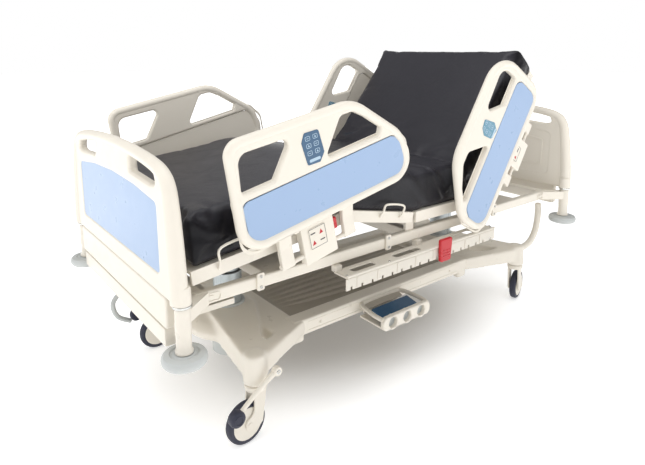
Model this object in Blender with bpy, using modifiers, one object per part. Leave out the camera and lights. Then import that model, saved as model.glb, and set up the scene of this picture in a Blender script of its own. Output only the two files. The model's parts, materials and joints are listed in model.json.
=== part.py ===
"""Adjustable hospital bed: a wheeled base, two lifting columns, a four-section deck with its mattress,
two end boards and four folding siderails.

+X points to the head end, +Z up, and the origin is on the floor under the middle of the bed.  The back
section is raised, and the thigh and calf sections form a low knee bend."""

import math

import bmesh
import bpy
from mathutils import Matrix, Vector

GAP = 0.0003                # clearance kept between touching pieces

# Corner posts and bumpers
POST_X = 1.06               # corner post from the middle, along the bed
POST_Y = 0.48               # corner post from the middle, across the bed
POST_RADIUS = 0.023
POST_TOP = 0.604
BUMPER_RADIUS = 0.067
BUMPER_LOW = 0.430
BUMPER_HIGH = 0.4645
PIN_RADIUS = 0.0100

# Base and castors
BASE_LOW = 0.240
BASE_HIGH = 0.305
MEMBER_Y = 0.300            # outer face of a base side member
WHEEL_RADIUS = 0.075
WHEEL_TRAIL = 0.045
TYRE_WIDTH = 0.032
AXLE_RADIUS = 0.0058
BOSS_LOW = 0.205
STEM_RADIUS = 0.0112
PEDAL_Y = 0.449
HOOP_Y = 0.478
GUARD_Y = 0.360             # guard tubes at the head end
TRAY_X = (-0.498, 0.438)
TRAY_Y = 0.233
TRAY_Z = 0.262
TRAY_THICK = 0.012
CASTORS = {                 # name: (swivel x, swivel y, angle of the trail about +Z in degrees)
    "foot_left": (-0.772, -0.388, 185.0),
    "foot_right": (-0.772, 0.388, 180.0),
    "head_left": (0.852, -0.352, 16.0),
    "head_right": (0.852, 0.352, 10.0),
}

# Lifting columns
COLUMN_X = 0.66
SLEEVE_LOW = 0.115          # the sleeves hang below the chassis, so that the stages can sink into them
SLEEVE_TOP = 0.330
SLEEVE_FLOOR = 0.010
SLEEVE_RADIUS = 0.068
STAGE_RADIUS = 0.057
RAM_RADIUS = 0.047
RUNNING_GAP = 0.001

# Middle frame
FRAME_LOW = 0.547
FRAME_HIGH = 0.597
FRAME_Y = 0.420
FRAME_X = 1.000
FRAME_BAYS = [(-0.955, -0.735), (-0.585, -0.045), (-0.005, 0.585), (0.735, 0.955)]
SEAT_LEG_X = 0.11
SEAT_LEG_Y = 0.404

# Side accessory rails
RAIL_START = -0.460
RAIL_END = 0.420
RAIL_WINDOWS = [(-0.400, -0.290), (-0.180, -0.040), (0.150, 0.300)]

# Deck sections, measured on the deck's top surface
DECK_Z = 0.675              # height of the flat deck's top surface
DECK_Y = 0.430              # half width of the deck
AXIS_DROP = 0.020           # hinge axes lie this far under the deck's top surface
SHEET = 0.012
FLANGE = 0.045
BACK_X = 0.322              # hinge of the back section
SEAT_X = -0.040             # hinge of the thigh section
BACK_LENGTH = 0.705
THIGH_LENGTH = 0.368
CALF_LENGTH = 0.610
BACK_ANGLE = math.radians(52.0)
THIGH_ANGLE = math.radians(12.0)
CALF_ANGLE = math.asin(THIGH_LENGTH * math.sin(THIGH_ANGLE) / 0.626)

# Mattress
MATTRESS_Y = 0.440
MATTRESS_THICK = 0.155

# Siderails: a local frame with u along the rail, v up and w outwards
RAIL_INNER = 0.491
RAIL_THICK = 0.034
FOOT_RAIL = (-0.540, 0.940, math.radians(12.3))
HEAD_RAIL = (0.356, 0.920, math.radians(58.0))
ARM_PIVOT_V = -0.275
ARM_PIVOT_W = 0.462
ARM_TOP_V = -0.150
ARM_TOP_W = 0.474
ARM_SPACING = 0.135         # an arm's centre from the middle of the linkage
ARM_MIDDLE_U = -0.072
ARM_SHAFT_RADIUS = 0.008
ARM_PIN_RADIUS = 0.006

# End boards
BOARD_OUT = 1.090
BOARD_THICK = 0.045
BOARD_LOW = 0.515

# Coloured inserts in the boards and siderails
INSERT_THICK = 0.002
RECESS = 0.003

COLOURS = {
    "ivory": ((0.80, 0.76, 0.68), 0.45, 0.0),
    "blue": ((0.34, 0.47, 0.70), 0.35, 0.0),
    "grey": ((0.55, 0.57, 0.56), 0.50, 0.0),
    "taupe": ((0.36, 0.31, 0.26), 0.60, 0.0),
    "column": ((0.42, 0.45, 0.45), 0.30, 0.6),
    "rubber": ((0.03, 0.03, 0.045), 0.70, 0.0),
    "fabric": ((0.045, 0.042, 0.055), 0.65, 0.0),
    "red": ((0.55, 0.02, 0.02), 0.40, 0.0),
    "steel": ((0.45, 0.45, 0.44), 0.35, 1.0),
    "navy": ((0.02, 0.03, 0.06), 0.20, 0.0),
}


def clear_scene():
    for old in list(bpy.data.objects):
        bpy.data.objects.remove(old, do_unlink=True)


def new_collection(name):
    made = bpy.data.collections.new(name)
    bpy.context.scene.collection.children.link(made)
    return made


def finish(name, colour):
    """A plain painted or moulded material of the piece's own."""
    base, roughness, metallic = COLOURS[colour]
    made = bpy.data.materials.new(name)
    made.use_nodes = True
    shader = made.node_tree.nodes["Principled BSDF"]
    shader.inputs["Base Color"].default_value = (*base, 1.0)
    shader.inputs["Roughness"].default_value = roughness
    shader.inputs["Metallic"].default_value = metallic
    return made


clear_scene()
PARTS = new_collection("hospital_bed")
CUTTERS = new_collection("cutters")


def shade_round(mesh):
    """Shades round surfaces smooth and keeps the real edges sharp."""
    mesh.shade_smooth()
    mesh.set_sharp_from_angle(angle=math.radians(35))


def new_object(name, mesh, colour):
    """Links a mesh as a part, or as a hidden cutter when it has no colour."""
    made = bpy.data.objects.new(name, mesh)
    if colour is None:
        made.hide_render = True
        made.display_type = "WIRE"
        CUTTERS.objects.link(made)
    else:
        mesh.materials.append(finish(name, colour))
        PARTS.objects.link(made)
    return made


def box(name, low, high, colour=None, frame=None, bevel=0.0):
    """A block between two corners, given in a local frame."""
    low = Vector(low)
    high = Vector(high)
    mesh = bpy.data.meshes.new(name)
    shape = bmesh.new()
    bmesh.ops.create_cube(shape, size=1.0)
    bmesh.ops.scale(shape, vec=high - low, verts=shape.verts)
    bmesh.ops.translate(shape, vec=(low + high) / 2, verts=shape.verts)
    if bevel:
        bmesh.ops.bevel(shape, geom=shape.edges[:], offset=bevel, segments=2, profile=0.5, affect="EDGES")
    if frame:
        shape.transform(frame)
    shape.to_mesh(mesh)
    shape.free()
    return new_object(name, mesh, colour)


def rod(name, start, end, radius, colour=None, sides=14, end_radius=None):
    """A round bar, or a cone, from one point to another."""
    start = Vector(start)
    along = Vector(end) - start
    mesh = bpy.data.meshes.new(name)
    shape = bmesh.new()
    bmesh.ops.create_cone(shape, cap_ends=True, segments=sides, radius1=radius,
                          radius2=radius if end_radius is None else end_radius, depth=along.length)
    turn = Vector((0, 0, 1)).rotation_difference(along).to_matrix().to_4x4()
    shape.transform(Matrix.Translation(start + along / 2) @ turn)
    shape.to_mesh(mesh)
    shape.free()
    shade_round(mesh)
    return new_object(name, mesh, colour)


def meshed(curve_object, name, colour):
    """Turns a curve object into a closed mesh object and removes the curve."""
    view = bpy.context.evaluated_depsgraph_get()
    mesh = bpy.data.meshes.new_from_object(curve_object.evaluated_get(view))
    mesh.materials.clear()
    shape = bmesh.new()
    shape.from_mesh(mesh)
    bmesh.ops.remove_doubles(shape, verts=shape.verts, dist=0.00002)
    bmesh.ops.recalc_face_normals(shape, faces=shape.faces)
    shape.transform(curve_object.matrix_world)
    if curve_object.matrix_world.determinant() < 0:
        bmesh.ops.reverse_faces(shape, faces=shape.faces)
    shape.to_mesh(mesh)
    shape.free()
    shade_round(mesh)
    curve = curve_object.data
    bpy.data.objects.remove(curve_object, do_unlink=True)
    bpy.data.curves.remove(curve)
    return new_object(name, mesh, colour)


def plate(name, outlines, thickness, colour=None, frame=None, edge=0.0):
    """A flat outline with its holes, centred on the local XY plane, with softened edges."""
    curve = bpy.data.curves.new(name, "CURVE")
    curve.dimensions = "2D"
    curve.fill_mode = "BOTH"
    curve.extrude = thickness / 2 - edge
    curve.bevel_depth = edge
    curve.bevel_resolution = 0
    curve.offset = -edge
    for outline in outlines:
        spline = curve.splines.new("POLY")
        spline.points.add(len(outline) - 1)
        for point, (x, y) in zip(spline.points, outline):
            point.co = (x, y, 0.0, 1.0)
        spline.use_cyclic_u = True
    made = bpy.data.objects.new(name, curve)
    PARTS.objects.link(made)
    if frame:
        made.matrix_world = frame
    bpy.context.view_layer.update()
    return meshed(made, name, colour)


def tube(name, points, radius, colour=None, resolution=1, smooth=4):
    """A bent round bar with closed ends on a smooth path."""
    curve = bpy.data.curves.new(name, "CURVE")
    curve.dimensions = "3D"
    curve.bevel_depth = radius
    curve.bevel_resolution = resolution
    curve.use_fill_caps = True
    path = smooth_path([Vector(p) for p in points], smooth)
    spline = curve.splines.new("POLY")
    spline.points.add(len(path) - 1)
    for point, place in zip(spline.points, path):
        point.co = (*place, 1.0)
    made = bpy.data.objects.new(name, curve)
    PARTS.objects.link(made)
    bpy.context.view_layer.update()
    return meshed(made, name, colour)


def smooth_path(points, steps):
    """Points along a curve that passes through every given point."""
    path = []
    last = len(points) - 1
    for i in range(last):
        before = points[max(i - 1, 0)]
        after = points[min(i + 2, last)]
        start, end = points[i], points[i + 1]
        for k in range(steps):
            t = k / steps
            leave = (end - before) / 2
            arrive = (after - start) / 2
            path.append(start * (2 * t**3 - 3 * t**2 + 1) + leave * (t**3 - 2 * t**2 + t)
                        + end * (3 * t**2 - 2 * t**3) + arrive * (t**3 - t**2))
    path.append(points[last])
    return path


def turned(name, profile, centre, axis, colour=None, steps=24):
    """A profile of (radius, height) points, from top to bottom on its outer side, turned about an axis."""
    mesh = bpy.data.meshes.new(name)
    shape = bmesh.new()
    corners = [shape.verts.new((r, 0.0, h)) for r, h in profile]
    for first, second in zip(corners, corners[1:] + corners[:1]):
        shape.edges.new((first, second))
    turn = Vector((0, 0, 1)).rotation_difference(Vector(axis)).to_matrix().to_4x4()
    shape.to_mesh(mesh)
    shape.free()
    made = new_object(name, mesh, colour)
    made.matrix_world = Matrix.Translation(centre) @ turn
    screw = made.modifiers.new("turn", "SCREW")
    screw.steps = steps
    screw.render_steps = steps
    screw.use_merge_vertices = True
    screw.merge_threshold = 0.00001
    return made


def combine(body, pieces, operation, solver):
    for piece in pieces:
        step = body.modifiers.new(operation.lower(), "BOOLEAN")
        step.operation = operation
        step.solver = solver
        step.object = piece
    return body


def union(body, *pieces, solver="EXACT"):
    return combine(body, pieces, "UNION", solver)


def cut(body, *pieces, solver="EXACT"):
    return combine(body, pieces, "DIFFERENCE", solver)


def rounded(corners, steps=3):
    """An outline whose corners (x, y, radius) are replaced by arcs."""
    outline = []
    count = len(corners)
    for i, (x, y, radius) in enumerate(corners):
        corner = Vector((x, y))
        if radius == 0:
            outline.append((x, y))
            continue
        to_last = (Vector(corners[i - 1][:2]) - corner).normalized()
        to_next = (Vector(corners[(i + 1) % count][:2]) - corner).normalized()
        half = to_last.angle(to_next) / 2
        reach = radius / math.tan(half)
        middle = corner + (to_last + to_next).normalized() * (radius / math.sin(half))
        start = corner + to_last * reach - middle
        sweep = start.angle_signed(corner + to_next * reach - middle)
        for k in range(steps + 1):
            turn = Matrix.Rotation(-sweep * k / steps, 2)
            outline.append(tuple(middle + turn @ start))
    return outline


def rectangle(x0, y0, x1, y1, radius=0.0):
    return [(x0, y0, radius), (x1, y0, radius), (x1, y1, radius), (x0, y1, radius)]


def axes(origin, x, y, z):
    """A frame whose local axes point along three world directions."""
    turn = Matrix((x, y, z)).transposed().to_4x4()
    return Matrix.Translation(origin) @ turn


# ---- Base ----

def castor_arm(end):
    """Half of an end casting's plan, from the side member round to the middle of the end."""
    side, name = (1, "head_left") if end == "head" else (-1, "foot_left")
    boss_x, boss_y, _ = CASTORS[name]
    return [(side * 0.47, -MEMBER_Y, 0.0), (side * 0.60, -MEMBER_Y, 0.05),
            (boss_x - side * 0.05, boss_y - 0.05, 0.03), (boss_x + side * 0.035, boss_y - 0.05, 0.035),
            (boss_x + side * 0.06, boss_y + 0.03, 0.03), (side * 0.77, -0.15, 0.06), (side * 0.755, 0.0, 0.0)]


def make_base():
    """The welded chassis with its castor bosses, head-end guard tubes and the cover tray."""
    near = castor_arm("foot")[::-1] + castor_arm("head")
    far = [(x, -y, r) for x, y, r in reversed(near)][1:-1]
    middle = (BASE_LOW + BASE_HIGH) / 2
    chassis = plate("base_chassis", [rounded(near + far)], BASE_HIGH - BASE_LOW, "ivory",
                    Matrix.Translation((0, 0, middle)))
    additions = []
    bores = []
    for name, (x, y, _) in CASTORS.items():
        top = Vector((x, y, BASE_HIGH))
        low = Vector((x, y, BOSS_LOW))
        additions.append(rod("boss_" + name, low, top + Vector((0, 0, 0.018)), 0.040, end_radius=0.030))
        bores.append(rod("stem_bore_" + name, low - Vector((0, 0, 0.01)), top - Vector((0, 0, 0.02)),
                         STEM_RADIUS + 0.0006))
    for side in (-1, 1):
        route = [(1.027, 0.500), (1.027, 0.430), (1.004, 0.352), (0.945, 0.297), (0.860, 0.283)]
        additions.append(tube("guard_tube", [(x, side * GUARD_Y, z) for x, z in route], 0.0145))
    union(chassis, *additions, solver="MANIFOLD")
    pocket = box("tray_pocket", (TRAY_X[0] - 0.002, -TRAY_Y - 0.002, TRAY_Z),
                 (TRAY_X[1] + 0.002, TRAY_Y + 0.002, 0.330))
    wells = [rod("column_well", (x, 0, 0.200), (x, 0, 0.340), SLEEVE_RADIUS + GAP, sides=24)
             for x in (-COLUMN_X, COLUMN_X)]
    cut(chassis, pocket, *wells, *bores, solver="MANIFOLD")
    plan = rectangle(TRAY_X[0], -TRAY_Y, TRAY_X[1], TRAY_Y, 0.02)
    tray = plate("base_tray", [rounded(plan)], TRAY_THICK, "taupe",
                 Matrix.Translation((0, 0, TRAY_Z + GAP + TRAY_THICK / 2)), edge=0.002)
    ribs = [box("tray_rib", (x - 0.006, -0.215, TRAY_Z + 0.006), (x + 0.006, 0.215, TRAY_Z + 0.020))
            for x in (-0.32, -0.03, 0.26)]
    union(tray, *ribs)


def ring(inner, outer, low, high):
    return [(inner, high), (outer, high), (outer, low), (inner, low)]


def make_columns():
    """Each column is a fixed sleeve, a middle stage and a ram fixed to the middle frame."""
    sleeve_bore = STAGE_RADIUS + RUNNING_GAP
    sleeve = [(sleeve_bore, SLEEVE_TOP), (SLEEVE_RADIUS - 0.003, SLEEVE_TOP),
              (SLEEVE_RADIUS, SLEEVE_TOP - 0.004), (SLEEVE_RADIUS, SLEEVE_LOW), (0.0, SLEEVE_LOW),
              (0.0, SLEEVE_LOW + SLEEVE_FLOOR),
              (sleeve_bore, SLEEVE_LOW + SLEEVE_FLOOR)]
    stage = ring(RAM_RADIUS + RUNNING_GAP, STAGE_RADIUS, 0.190, 0.455)
    ram_top = FRAME_LOW - GAP
    flange = RAM_RADIUS + 0.030
    ram = [(0.0, ram_top), (flange, ram_top), (flange, ram_top - 0.012), (RAM_RADIUS, ram_top - 0.012),
           (RAM_RADIUS, 0.250), (0.0, 0.250)]
    for end, x in (("foot", -COLUMN_X), ("head", COLUMN_X)):
        solid_of_revolution("column_sleeve_" + end, sleeve, (x, 0, 0), "grey")
        turned("column_stage_" + end, stage, (x, 0, 0), (0, 0, 1), "column")
        solid_of_revolution("column_ram_" + end, ram, (x, 0, 0), "column")


def solid_of_revolution(name, profile, centre, colour, steps=24, axis=(0, 0, 1)):
    """A turned solid that reaches its own axis: the profile is open there and its ends meet on the axis."""
    made = turned(name, profile, centre, axis, colour, steps)
    shape = bmesh.new()
    shape.from_mesh(made.data)
    shape.edges.ensure_lookup_table()
    on_axis = [e for e in shape.edges if all(abs(v.co.x) < 1e-6 for v in e.verts)]
    bmesh.ops.delete(shape, geom=on_axis, context="EDGES")
    shape.to_mesh(made.data)
    shape.free()
    return made


def make_castors():
    """Four swivel castors: a fork with its stem and axle, a tyre and a covered hub."""
    crown = rounded(rectangle(-0.034, -0.030, 0.030, 0.030, 0.020))
    leg = rounded([(-0.026, 0.196, 0.004), (0.022, 0.196, 0.004), (0.026, 0.112, 0.015),
                   (0.058, 0.092, 0.012), (0.063, 0.066, 0.012), (0.046, 0.056, 0.008),
                   (-0.006, 0.058, 0.014)], 1)
    half = TYRE_WIDTH / 2
    tread = [(0.0525, half), (0.070, half), (WHEEL_RADIUS, half - 0.007),
             (WHEEL_RADIUS, 0.007 - half), (0.070, -half), (0.0525, -half)]
    bore = AXLE_RADIUS + GAP
    hub = [(bore, 0.018), (0.046, 0.018), (0.0522, 0.012), (0.0522, -0.012), (0.046, -0.018), (bore, -0.018)]
    for name, (x, y, angle) in CASTORS.items():
        turn = Matrix.Translation((x, y, 0)) @ Matrix.Rotation(math.radians(angle), 4, "Z")
        axle = turn @ Vector((WHEEL_TRAIL, 0, WHEEL_RADIUS))
        across = (turn.to_3x3() @ Vector((0, 1, 0))).normalized()
        fork = plate("castor_fork_" + name, [crown], 0.020, "ivory",
                     turn @ Matrix.Translation((0, 0, BOSS_LOW - GAP - 0.010)))
        stem = rod("stem", (x, y, BOSS_LOW - 0.01), (x, y, BASE_HIGH - 0.03), STEM_RADIUS)
        pin = rod("axle", axle - across * 0.028, axle + across * 0.028, AXLE_RADIUS, sides=12)
        legs = []
        for side in (-1, 1):
            upright = turn @ axes((0, side * 0.0255, 0), (1, 0, 0), (0, 0, 1), (0, -1, 0))
            legs.append(plate("leg", [leg], 0.007, None, upright))
        union(fork, stem, *legs, pin)
        turned("tyre_" + name, tread, axle, across, "rubber", 20)
        turned("wheel_hub_" + name, hub, axle, across, "ivory", 20)


def make_pedals():
    """Brake pedals of the two foot castors and the steering hoop on the right one."""
    for side, name, colour in ((-1, "left", "ivory"), (1, "right", "steel")):
        pivot = Vector((-0.725, side * PEDAL_Y, 0.258))
        tip = Vector((-0.882, side * PEDAL_Y, 0.150))
        middle = pivot.lerp(tip, 0.5) + Vector((0, 0, 0.004))
        arm = tube("brake_pedal_" + name, [pivot, middle, tip], 0.007, colour, smooth=2)
        inward = Vector((0, -side, 0))
        boss = rod("pedal_boss", pivot + inward * 0.0095, pivot - inward * 0.010, 0.014)
        pad = rod("pedal_pad", tip + inward * 0.018, tip - inward * 0.016, 0.027)
        union(arm, boss, pad)
    route = [(-0.775, 0.285), (-0.860, 0.286), (-0.930, 0.262),
             (-0.972, 0.215), (-0.955, 0.150), (-0.900, 0.112)]
    hoop = tube("steer_hoop", [(x, HOOP_Y, z) for x, z in route], 0.009, "steel", smooth=3)
    union(hoop, rod("hoop_boss", (-0.775, HOOP_Y - 0.0385, 0.285), (-0.775, HOOP_Y + 0.009, 0.285), 0.016))


def make_foot_control():
    """The guarded foot control on the outside of the left side member."""
    guard_plan = rounded(rectangle(-0.235, -0.462, 0.045, -0.325, 0.025))
    opening = rounded(rectangle(-0.205, -0.436, 0.015, -0.350, 0.015))
    guard = plate("foot_control_guard", [guard_plan, opening], 0.060, "ivory",
                  Matrix.Translation((0, 0, 0.255)), edge=0.006)
    floor = box("guard_floor", (-0.210, -0.445, 0.226), (0.020, -0.345, 0.234))
    bracket = box("guard_bracket", (-0.200, -0.345, 0.238), (0.010, -MEMBER_Y - GAP, 0.268))
    pockets = [rod("toe_pocket", (x, -0.475, 0.255), (x, -0.430, 0.255), 0.022)
               for x in (-0.175, -0.095, -0.015)]
    union(guard, floor, bracket)
    cut(guard, *pockets)
    tilt = Matrix.Translation((-0.095, -0.360, 0.272)) @ Matrix.Rotation(math.radians(12), 4, "X")
    box("foot_switch", (-0.105, -0.070, -0.006), (0.105, 0.004, 0.006), "navy", tilt, bevel=0.002)


# ---- Middle frame, boards and bumpers ----

def make_middle_frame():
    """Ladder frame in plan, with ears out to the corner posts."""
    ears = [(FRAME_X - 0.050, -FRAME_Y, 0.0), (POST_X - 0.020, -POST_Y - 0.022, 0.020),
            (POST_X + 0.022, -POST_Y - 0.022, 0.015), (POST_X + 0.022, -POST_Y + 0.030, 0.015),
            (FRAME_X + 0.005, -FRAME_Y + 0.050, 0.0)]
    near = [(-x, y, r) for x, y, r in reversed(ears)] + ears
    far = [(x, -y, r) for x, y, r in reversed(near)]
    inner = FRAME_Y - 0.032
    holes = [rounded(rectangle(start, -inner, end, inner)) for start, end in FRAME_BAYS]
    frame = plate("mid_frame", [rounded(near + far, 2), *holes], FRAME_HIGH - FRAME_LOW, "ivory",
                  Matrix.Translation((0, 0, (FRAME_LOW + FRAME_HIGH) / 2)))
    pieces = []
    for x in (-POST_X, POST_X):
        for y in (-POST_Y, POST_Y):
            pieces.append(rod("post", (x, y, BUMPER_HIGH + 0.0015), (x, y, POST_TOP - GAP), POST_RADIUS))
            pieces.append(rod("bumper_pin", (x, y, 0.420), (x, y, 0.480), PIN_RADIUS))
            pieces.append(rod("pin_head", (x, y, 0.418), (x, y, BUMPER_LOW - GAP), 0.017))
    for x in (-0.25, SEAT_LEG_X):
        for y in (-SEAT_LEG_Y, SEAT_LEG_Y):
            pieces.append(box("seat_stand", (x - 0.020, y - 0.014, FRAME_HIGH - 0.010),
                              (x + 0.020, y + 0.014, 0.6295)))
    union(frame, *pieces, solver="MANIFOLD")


def make_bumpers():
    profile = [(PIN_RADIUS + 0.0004, BUMPER_HIGH), (0.054, BUMPER_HIGH), (BUMPER_RADIUS, BUMPER_HIGH - 0.012),
               (BUMPER_RADIUS, BUMPER_LOW + 0.010), (0.054, BUMPER_LOW), (PIN_RADIUS + 0.0004, BUMPER_LOW)]
    for end, x in (("foot", -POST_X), ("head", POST_X)):
        for side, y in (("left", -POST_Y), ("right", POST_Y)):
            turned("bumper_" + end + "_" + side, profile, (x, y, 0), (0, 0, 1), "grey", 20)


def board_outline():
    """An end board's outline across the bed: y, z and corner radius, from the top middle round both feet."""
    foot_z = POST_TOP + 0.006
    half = [(0.0, 1.040, 0.0), (0.330, 1.022, 0.10), (0.450, 0.985, 0.06), (0.468, 0.900, 0.05),
            (0.500, foot_z, 0.0), (0.360, foot_z, 0.01), (0.345, BOARD_LOW, 0.012)]
    return half + [(-y, z, r) for y, z, r in reversed(half[1:])]


def board_slot(side):
    corners = [(0.172, 0.948, 0.010), (0.345, 0.938, 0.012), (0.385, 0.945, 0.010), (0.372, 0.975, 0.02),
               (0.300, 0.994, 0.03), (0.172, 1.000, 0.012)]
    return [(side * y, z, r) for y, z, r in corners]


def insert_outline(grow):
    """The coloured insert's outline, with its sides moved out by grow."""
    half = [(0.0, 0.921 + grow, 0.0), (0.200, 0.914 + grow, 0.08), (0.385 + grow, 0.893 + grow, 0.015),
            (0.385 + grow, 0.672 - grow, 0.015)]
    return half + [(-y, z, r) for y, z, r in reversed(half[1:])]


def make_boards():
    """End boards: a moulded panel with two hand slots, legs over the posts and a coloured insert."""
    for name, side in (("footboard", -1), ("headboard", 1)):
        outward = axes((side * (BOARD_OUT - BOARD_THICK / 2), 0, 0), (0, side, 0), (0, 0, 1), (side, 0, 0))
        outlines = [rounded(board_outline()), rounded(board_slot(1), 2), rounded(board_slot(-1), 2)]
        board = plate(name, outlines, BOARD_THICK, "ivory", outward, edge=0.010)
        legs = [rod("board_leg", (side * POST_X, y, POST_TOP + 0.001), (side * POST_X, y * 0.975, 0.90),
                    0.024, sides=20, end_radius=0.020) for y in (-POST_Y, POST_Y)]
        union(board, *legs, solver="MANIFOLD")
        recess = outward @ Matrix.Translation((0, 0, BOARD_THICK / 2 + 0.005 - RECESS))
        cutter = plate("insert_recess", [rounded(insert_outline(0.0004))], 0.010, None, recess)
        cut(board, cutter, solver="MANIFOLD")
        seat = outward @ Matrix.Translation((0, 0, BOARD_THICK / 2 - RECESS + GAP + INSERT_THICK / 2))
        plate(name + "_insert", [rounded(insert_outline(0.0))], INSERT_THICK, "blue", seat)


def make_shelf():
    """Pull-out linen shelf under the footboard, with its deep front rail."""
    front = box("linen_shelf", (-1.086, -0.405, 0.452), (-1.050, 0.405, 0.511), "ivory", bevel=0.006)
    runners = [box("shelf_runner", (-1.055, y - 0.010, 0.470), (-0.800, y + 0.010, 0.490))
               for y in (-0.300, 0.300)]
    union(front, *runners, box("shelf_floor", (-1.055, -0.305, 0.470), (-0.830, 0.305, 0.476)))


def make_accessory_rails():
    """Side accessory rails: a flat ledge with windows and a notched front strip."""
    ledge = [(RAIL_START, 0.4205, 0.004), (RAIL_END, 0.4205, 0.004), (RAIL_END, 0.498, 0.006),
             (RAIL_START, 0.498, 0.006)]
    windows = [rectangle(start, 0.440, end, 0.475) for start, end in RAIL_WINDOWS]
    strip_plan = rectangle(RAIL_START - 0.002, 0.478, RAIL_END + 0.002, 0.535)
    for name, side in (("left", -1), ("right", 1)):
        flat = [[(x, side * y) for x, y in rounded(outline, 2)] for outline in (ledge, *windows)]
        rail = plate("accessory_rail_" + name, flat, 0.006, "ivory", Matrix.Translation((0, 0, 0.530)))
        strip = plate("strip", [rounded(strip_plan)], 0.007, None,
                      axes((0, side * 0.498, 0), (1, 0, 0), (0, 0, 1), (0, -1, 0)))
        front = side * 0.498
        notches = [box("notch", (x - 0.017, front - 0.02, 0.470), (x + 0.017, front + 0.02, 0.496))
                   for x in [-0.400 + 0.110 * k for k in range(8)]]
        middle = side * 0.422
        hangers = [box("hanger", (x - 0.015, middle - 0.014, 0.528),
                       (x + 0.015, middle + 0.014, FRAME_LOW - GAP))
                   for x in (-0.440, -0.010, 0.400)]
        union(rail, strip, *hangers, solver="MANIFOLD")
        cut(rail, *notches, solver="MANIFOLD")


def make_release_handle():
    """Emergency handle that lets the back section down, hung under the left accessory rail."""
    box("cpr_handle", (0.026, -0.5190, 0.470), (0.106, -0.5025, 0.566), "red", bevel=0.004)


# ---- Deck and mattress ----

def section_frame(x, z, angle, towards):
    """Frame at a hinge: local x across the bed, y out of the deck's surface, z along the section."""
    along = Vector((towards * math.cos(angle), 0, math.sin(angle)))
    normal = Vector((-towards * math.sin(angle), 0, math.cos(angle)))
    across = normal.cross(along)
    return axes((x, 0, z), across, normal, along)


AXIS_Z = DECK_Z - AXIS_DROP
BACK_FRAME = section_frame(BACK_X, AXIS_Z, BACK_ANGLE, 1)
THIGH_FRAME = section_frame(SEAT_X, AXIS_Z, THIGH_ANGLE, -1)
KNEE = THIGH_FRAME @ Vector((0, 0, THIGH_LENGTH))
CALF_FRAME = section_frame(KNEE.x, KNEE.z, -CALF_ANGLE, -1)
SEAT_FRAME = section_frame(SEAT_X, AXIS_Z, 0.0, 1)


def deck_panel(name, frame, start, end):
    """A folded sheet panel: flat top with two side flanges turned down."""
    top = AXIS_DROP
    inner = DECK_Y - SHEET
    profile = [(-DECK_Y, top), (-DECK_Y, top - FLANGE), (-inner, top - FLANGE), (-inner, top - SHEET),
               (inner, top - SHEET), (inner, top - FLANGE), (DECK_Y, top - FLANGE), (DECK_Y, top)]
    return plate(name, [profile], end - start, "ivory", frame @ Matrix.Translation((0, 0, (start + end) / 2)))


def mattress_block(name, frame, corners):
    """A mattress section from its side profile: (along, above the deck) corners."""
    profile = [(along, AXIS_DROP + GAP + above) for along, above in corners]
    across, normal, along = (frame.to_3x3() @ Vector(v) for v in ((1, 0, 0), (0, 1, 0), (0, 0, 1)))
    side = axes(frame.translation, along, normal, along.cross(normal))
    return plate(name, [profile], 2 * MATTRESS_Y, "fabric", side, edge=0.012)


def make_deck():
    """The four deck panels and the four mattress blocks, whose ends lean so that the joints can close."""
    seat_length = BACK_X - SEAT_X
    seat = deck_panel("seat_deck", SEAT_FRAME, 0.010, seat_length - 0.026)
    union(seat, *[box("seat_leg", (SEAT_LEG_X - 0.016, y - 0.010, 0.630),
                      (SEAT_LEG_X + 0.016, y + 0.010, 0.668))
                  for y in (-SEAT_LEG_Y, SEAT_LEG_Y)])
    deck_panel("thigh_deck", THIGH_FRAME, 0.006, THIGH_LENGTH - 0.016)
    calf = deck_panel("calf_deck", CALF_FRAME, 0.016, CALF_LENGTH)
    back = deck_panel("back_deck", BACK_FRAME, 0.006, BACK_LENGTH)
    top = MATTRESS_THICK
    hip_lean = math.tan(math.radians(33.5)) * top
    thigh_lean = math.tan(math.radians(16.0)) * top
    seat_end = seat_length - 0.030
    thigh_end = THIGH_LENGTH - 0.005
    back_end = BACK_LENGTH + 0.008
    mattress_block("mattress_seat", SEAT_FRAME,
                   [(0.014, 0), (seat_end, 0), (seat_end - hip_lean, top), (0.014 + thigh_lean, top)])
    mattress_block("mattress_back", BACK_FRAME,
                   [(0.030, 0), (back_end, 0), (back_end, top), (0.030 + hip_lean, top)])
    mattress_block("mattress_thigh", THIGH_FRAME,
                   [(0.014, 0), (thigh_end, 0), (thigh_end, top), (0.014 + thigh_lean, top)])
    mattress_block("mattress_calf", CALF_FRAME, [(0.005, 0), (0.600, 0), (0.600, top), (0.005, top)])
    return calf, back


# ---- Siderails ----

def rail_frame(rail, side):
    """Local u along the rail, v up, w outwards on the given side of the bed."""
    x, z, angle = rail
    u = Vector((math.cos(angle), 0, math.sin(angle)))
    v = Vector((-math.sin(angle), 0, math.cos(angle)))
    return axes((x, 0, z), u, v, (0, side, 0))


def facing(corners, direction):
    return [(direction * u, v, r) for u, v, r in corners]


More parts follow.
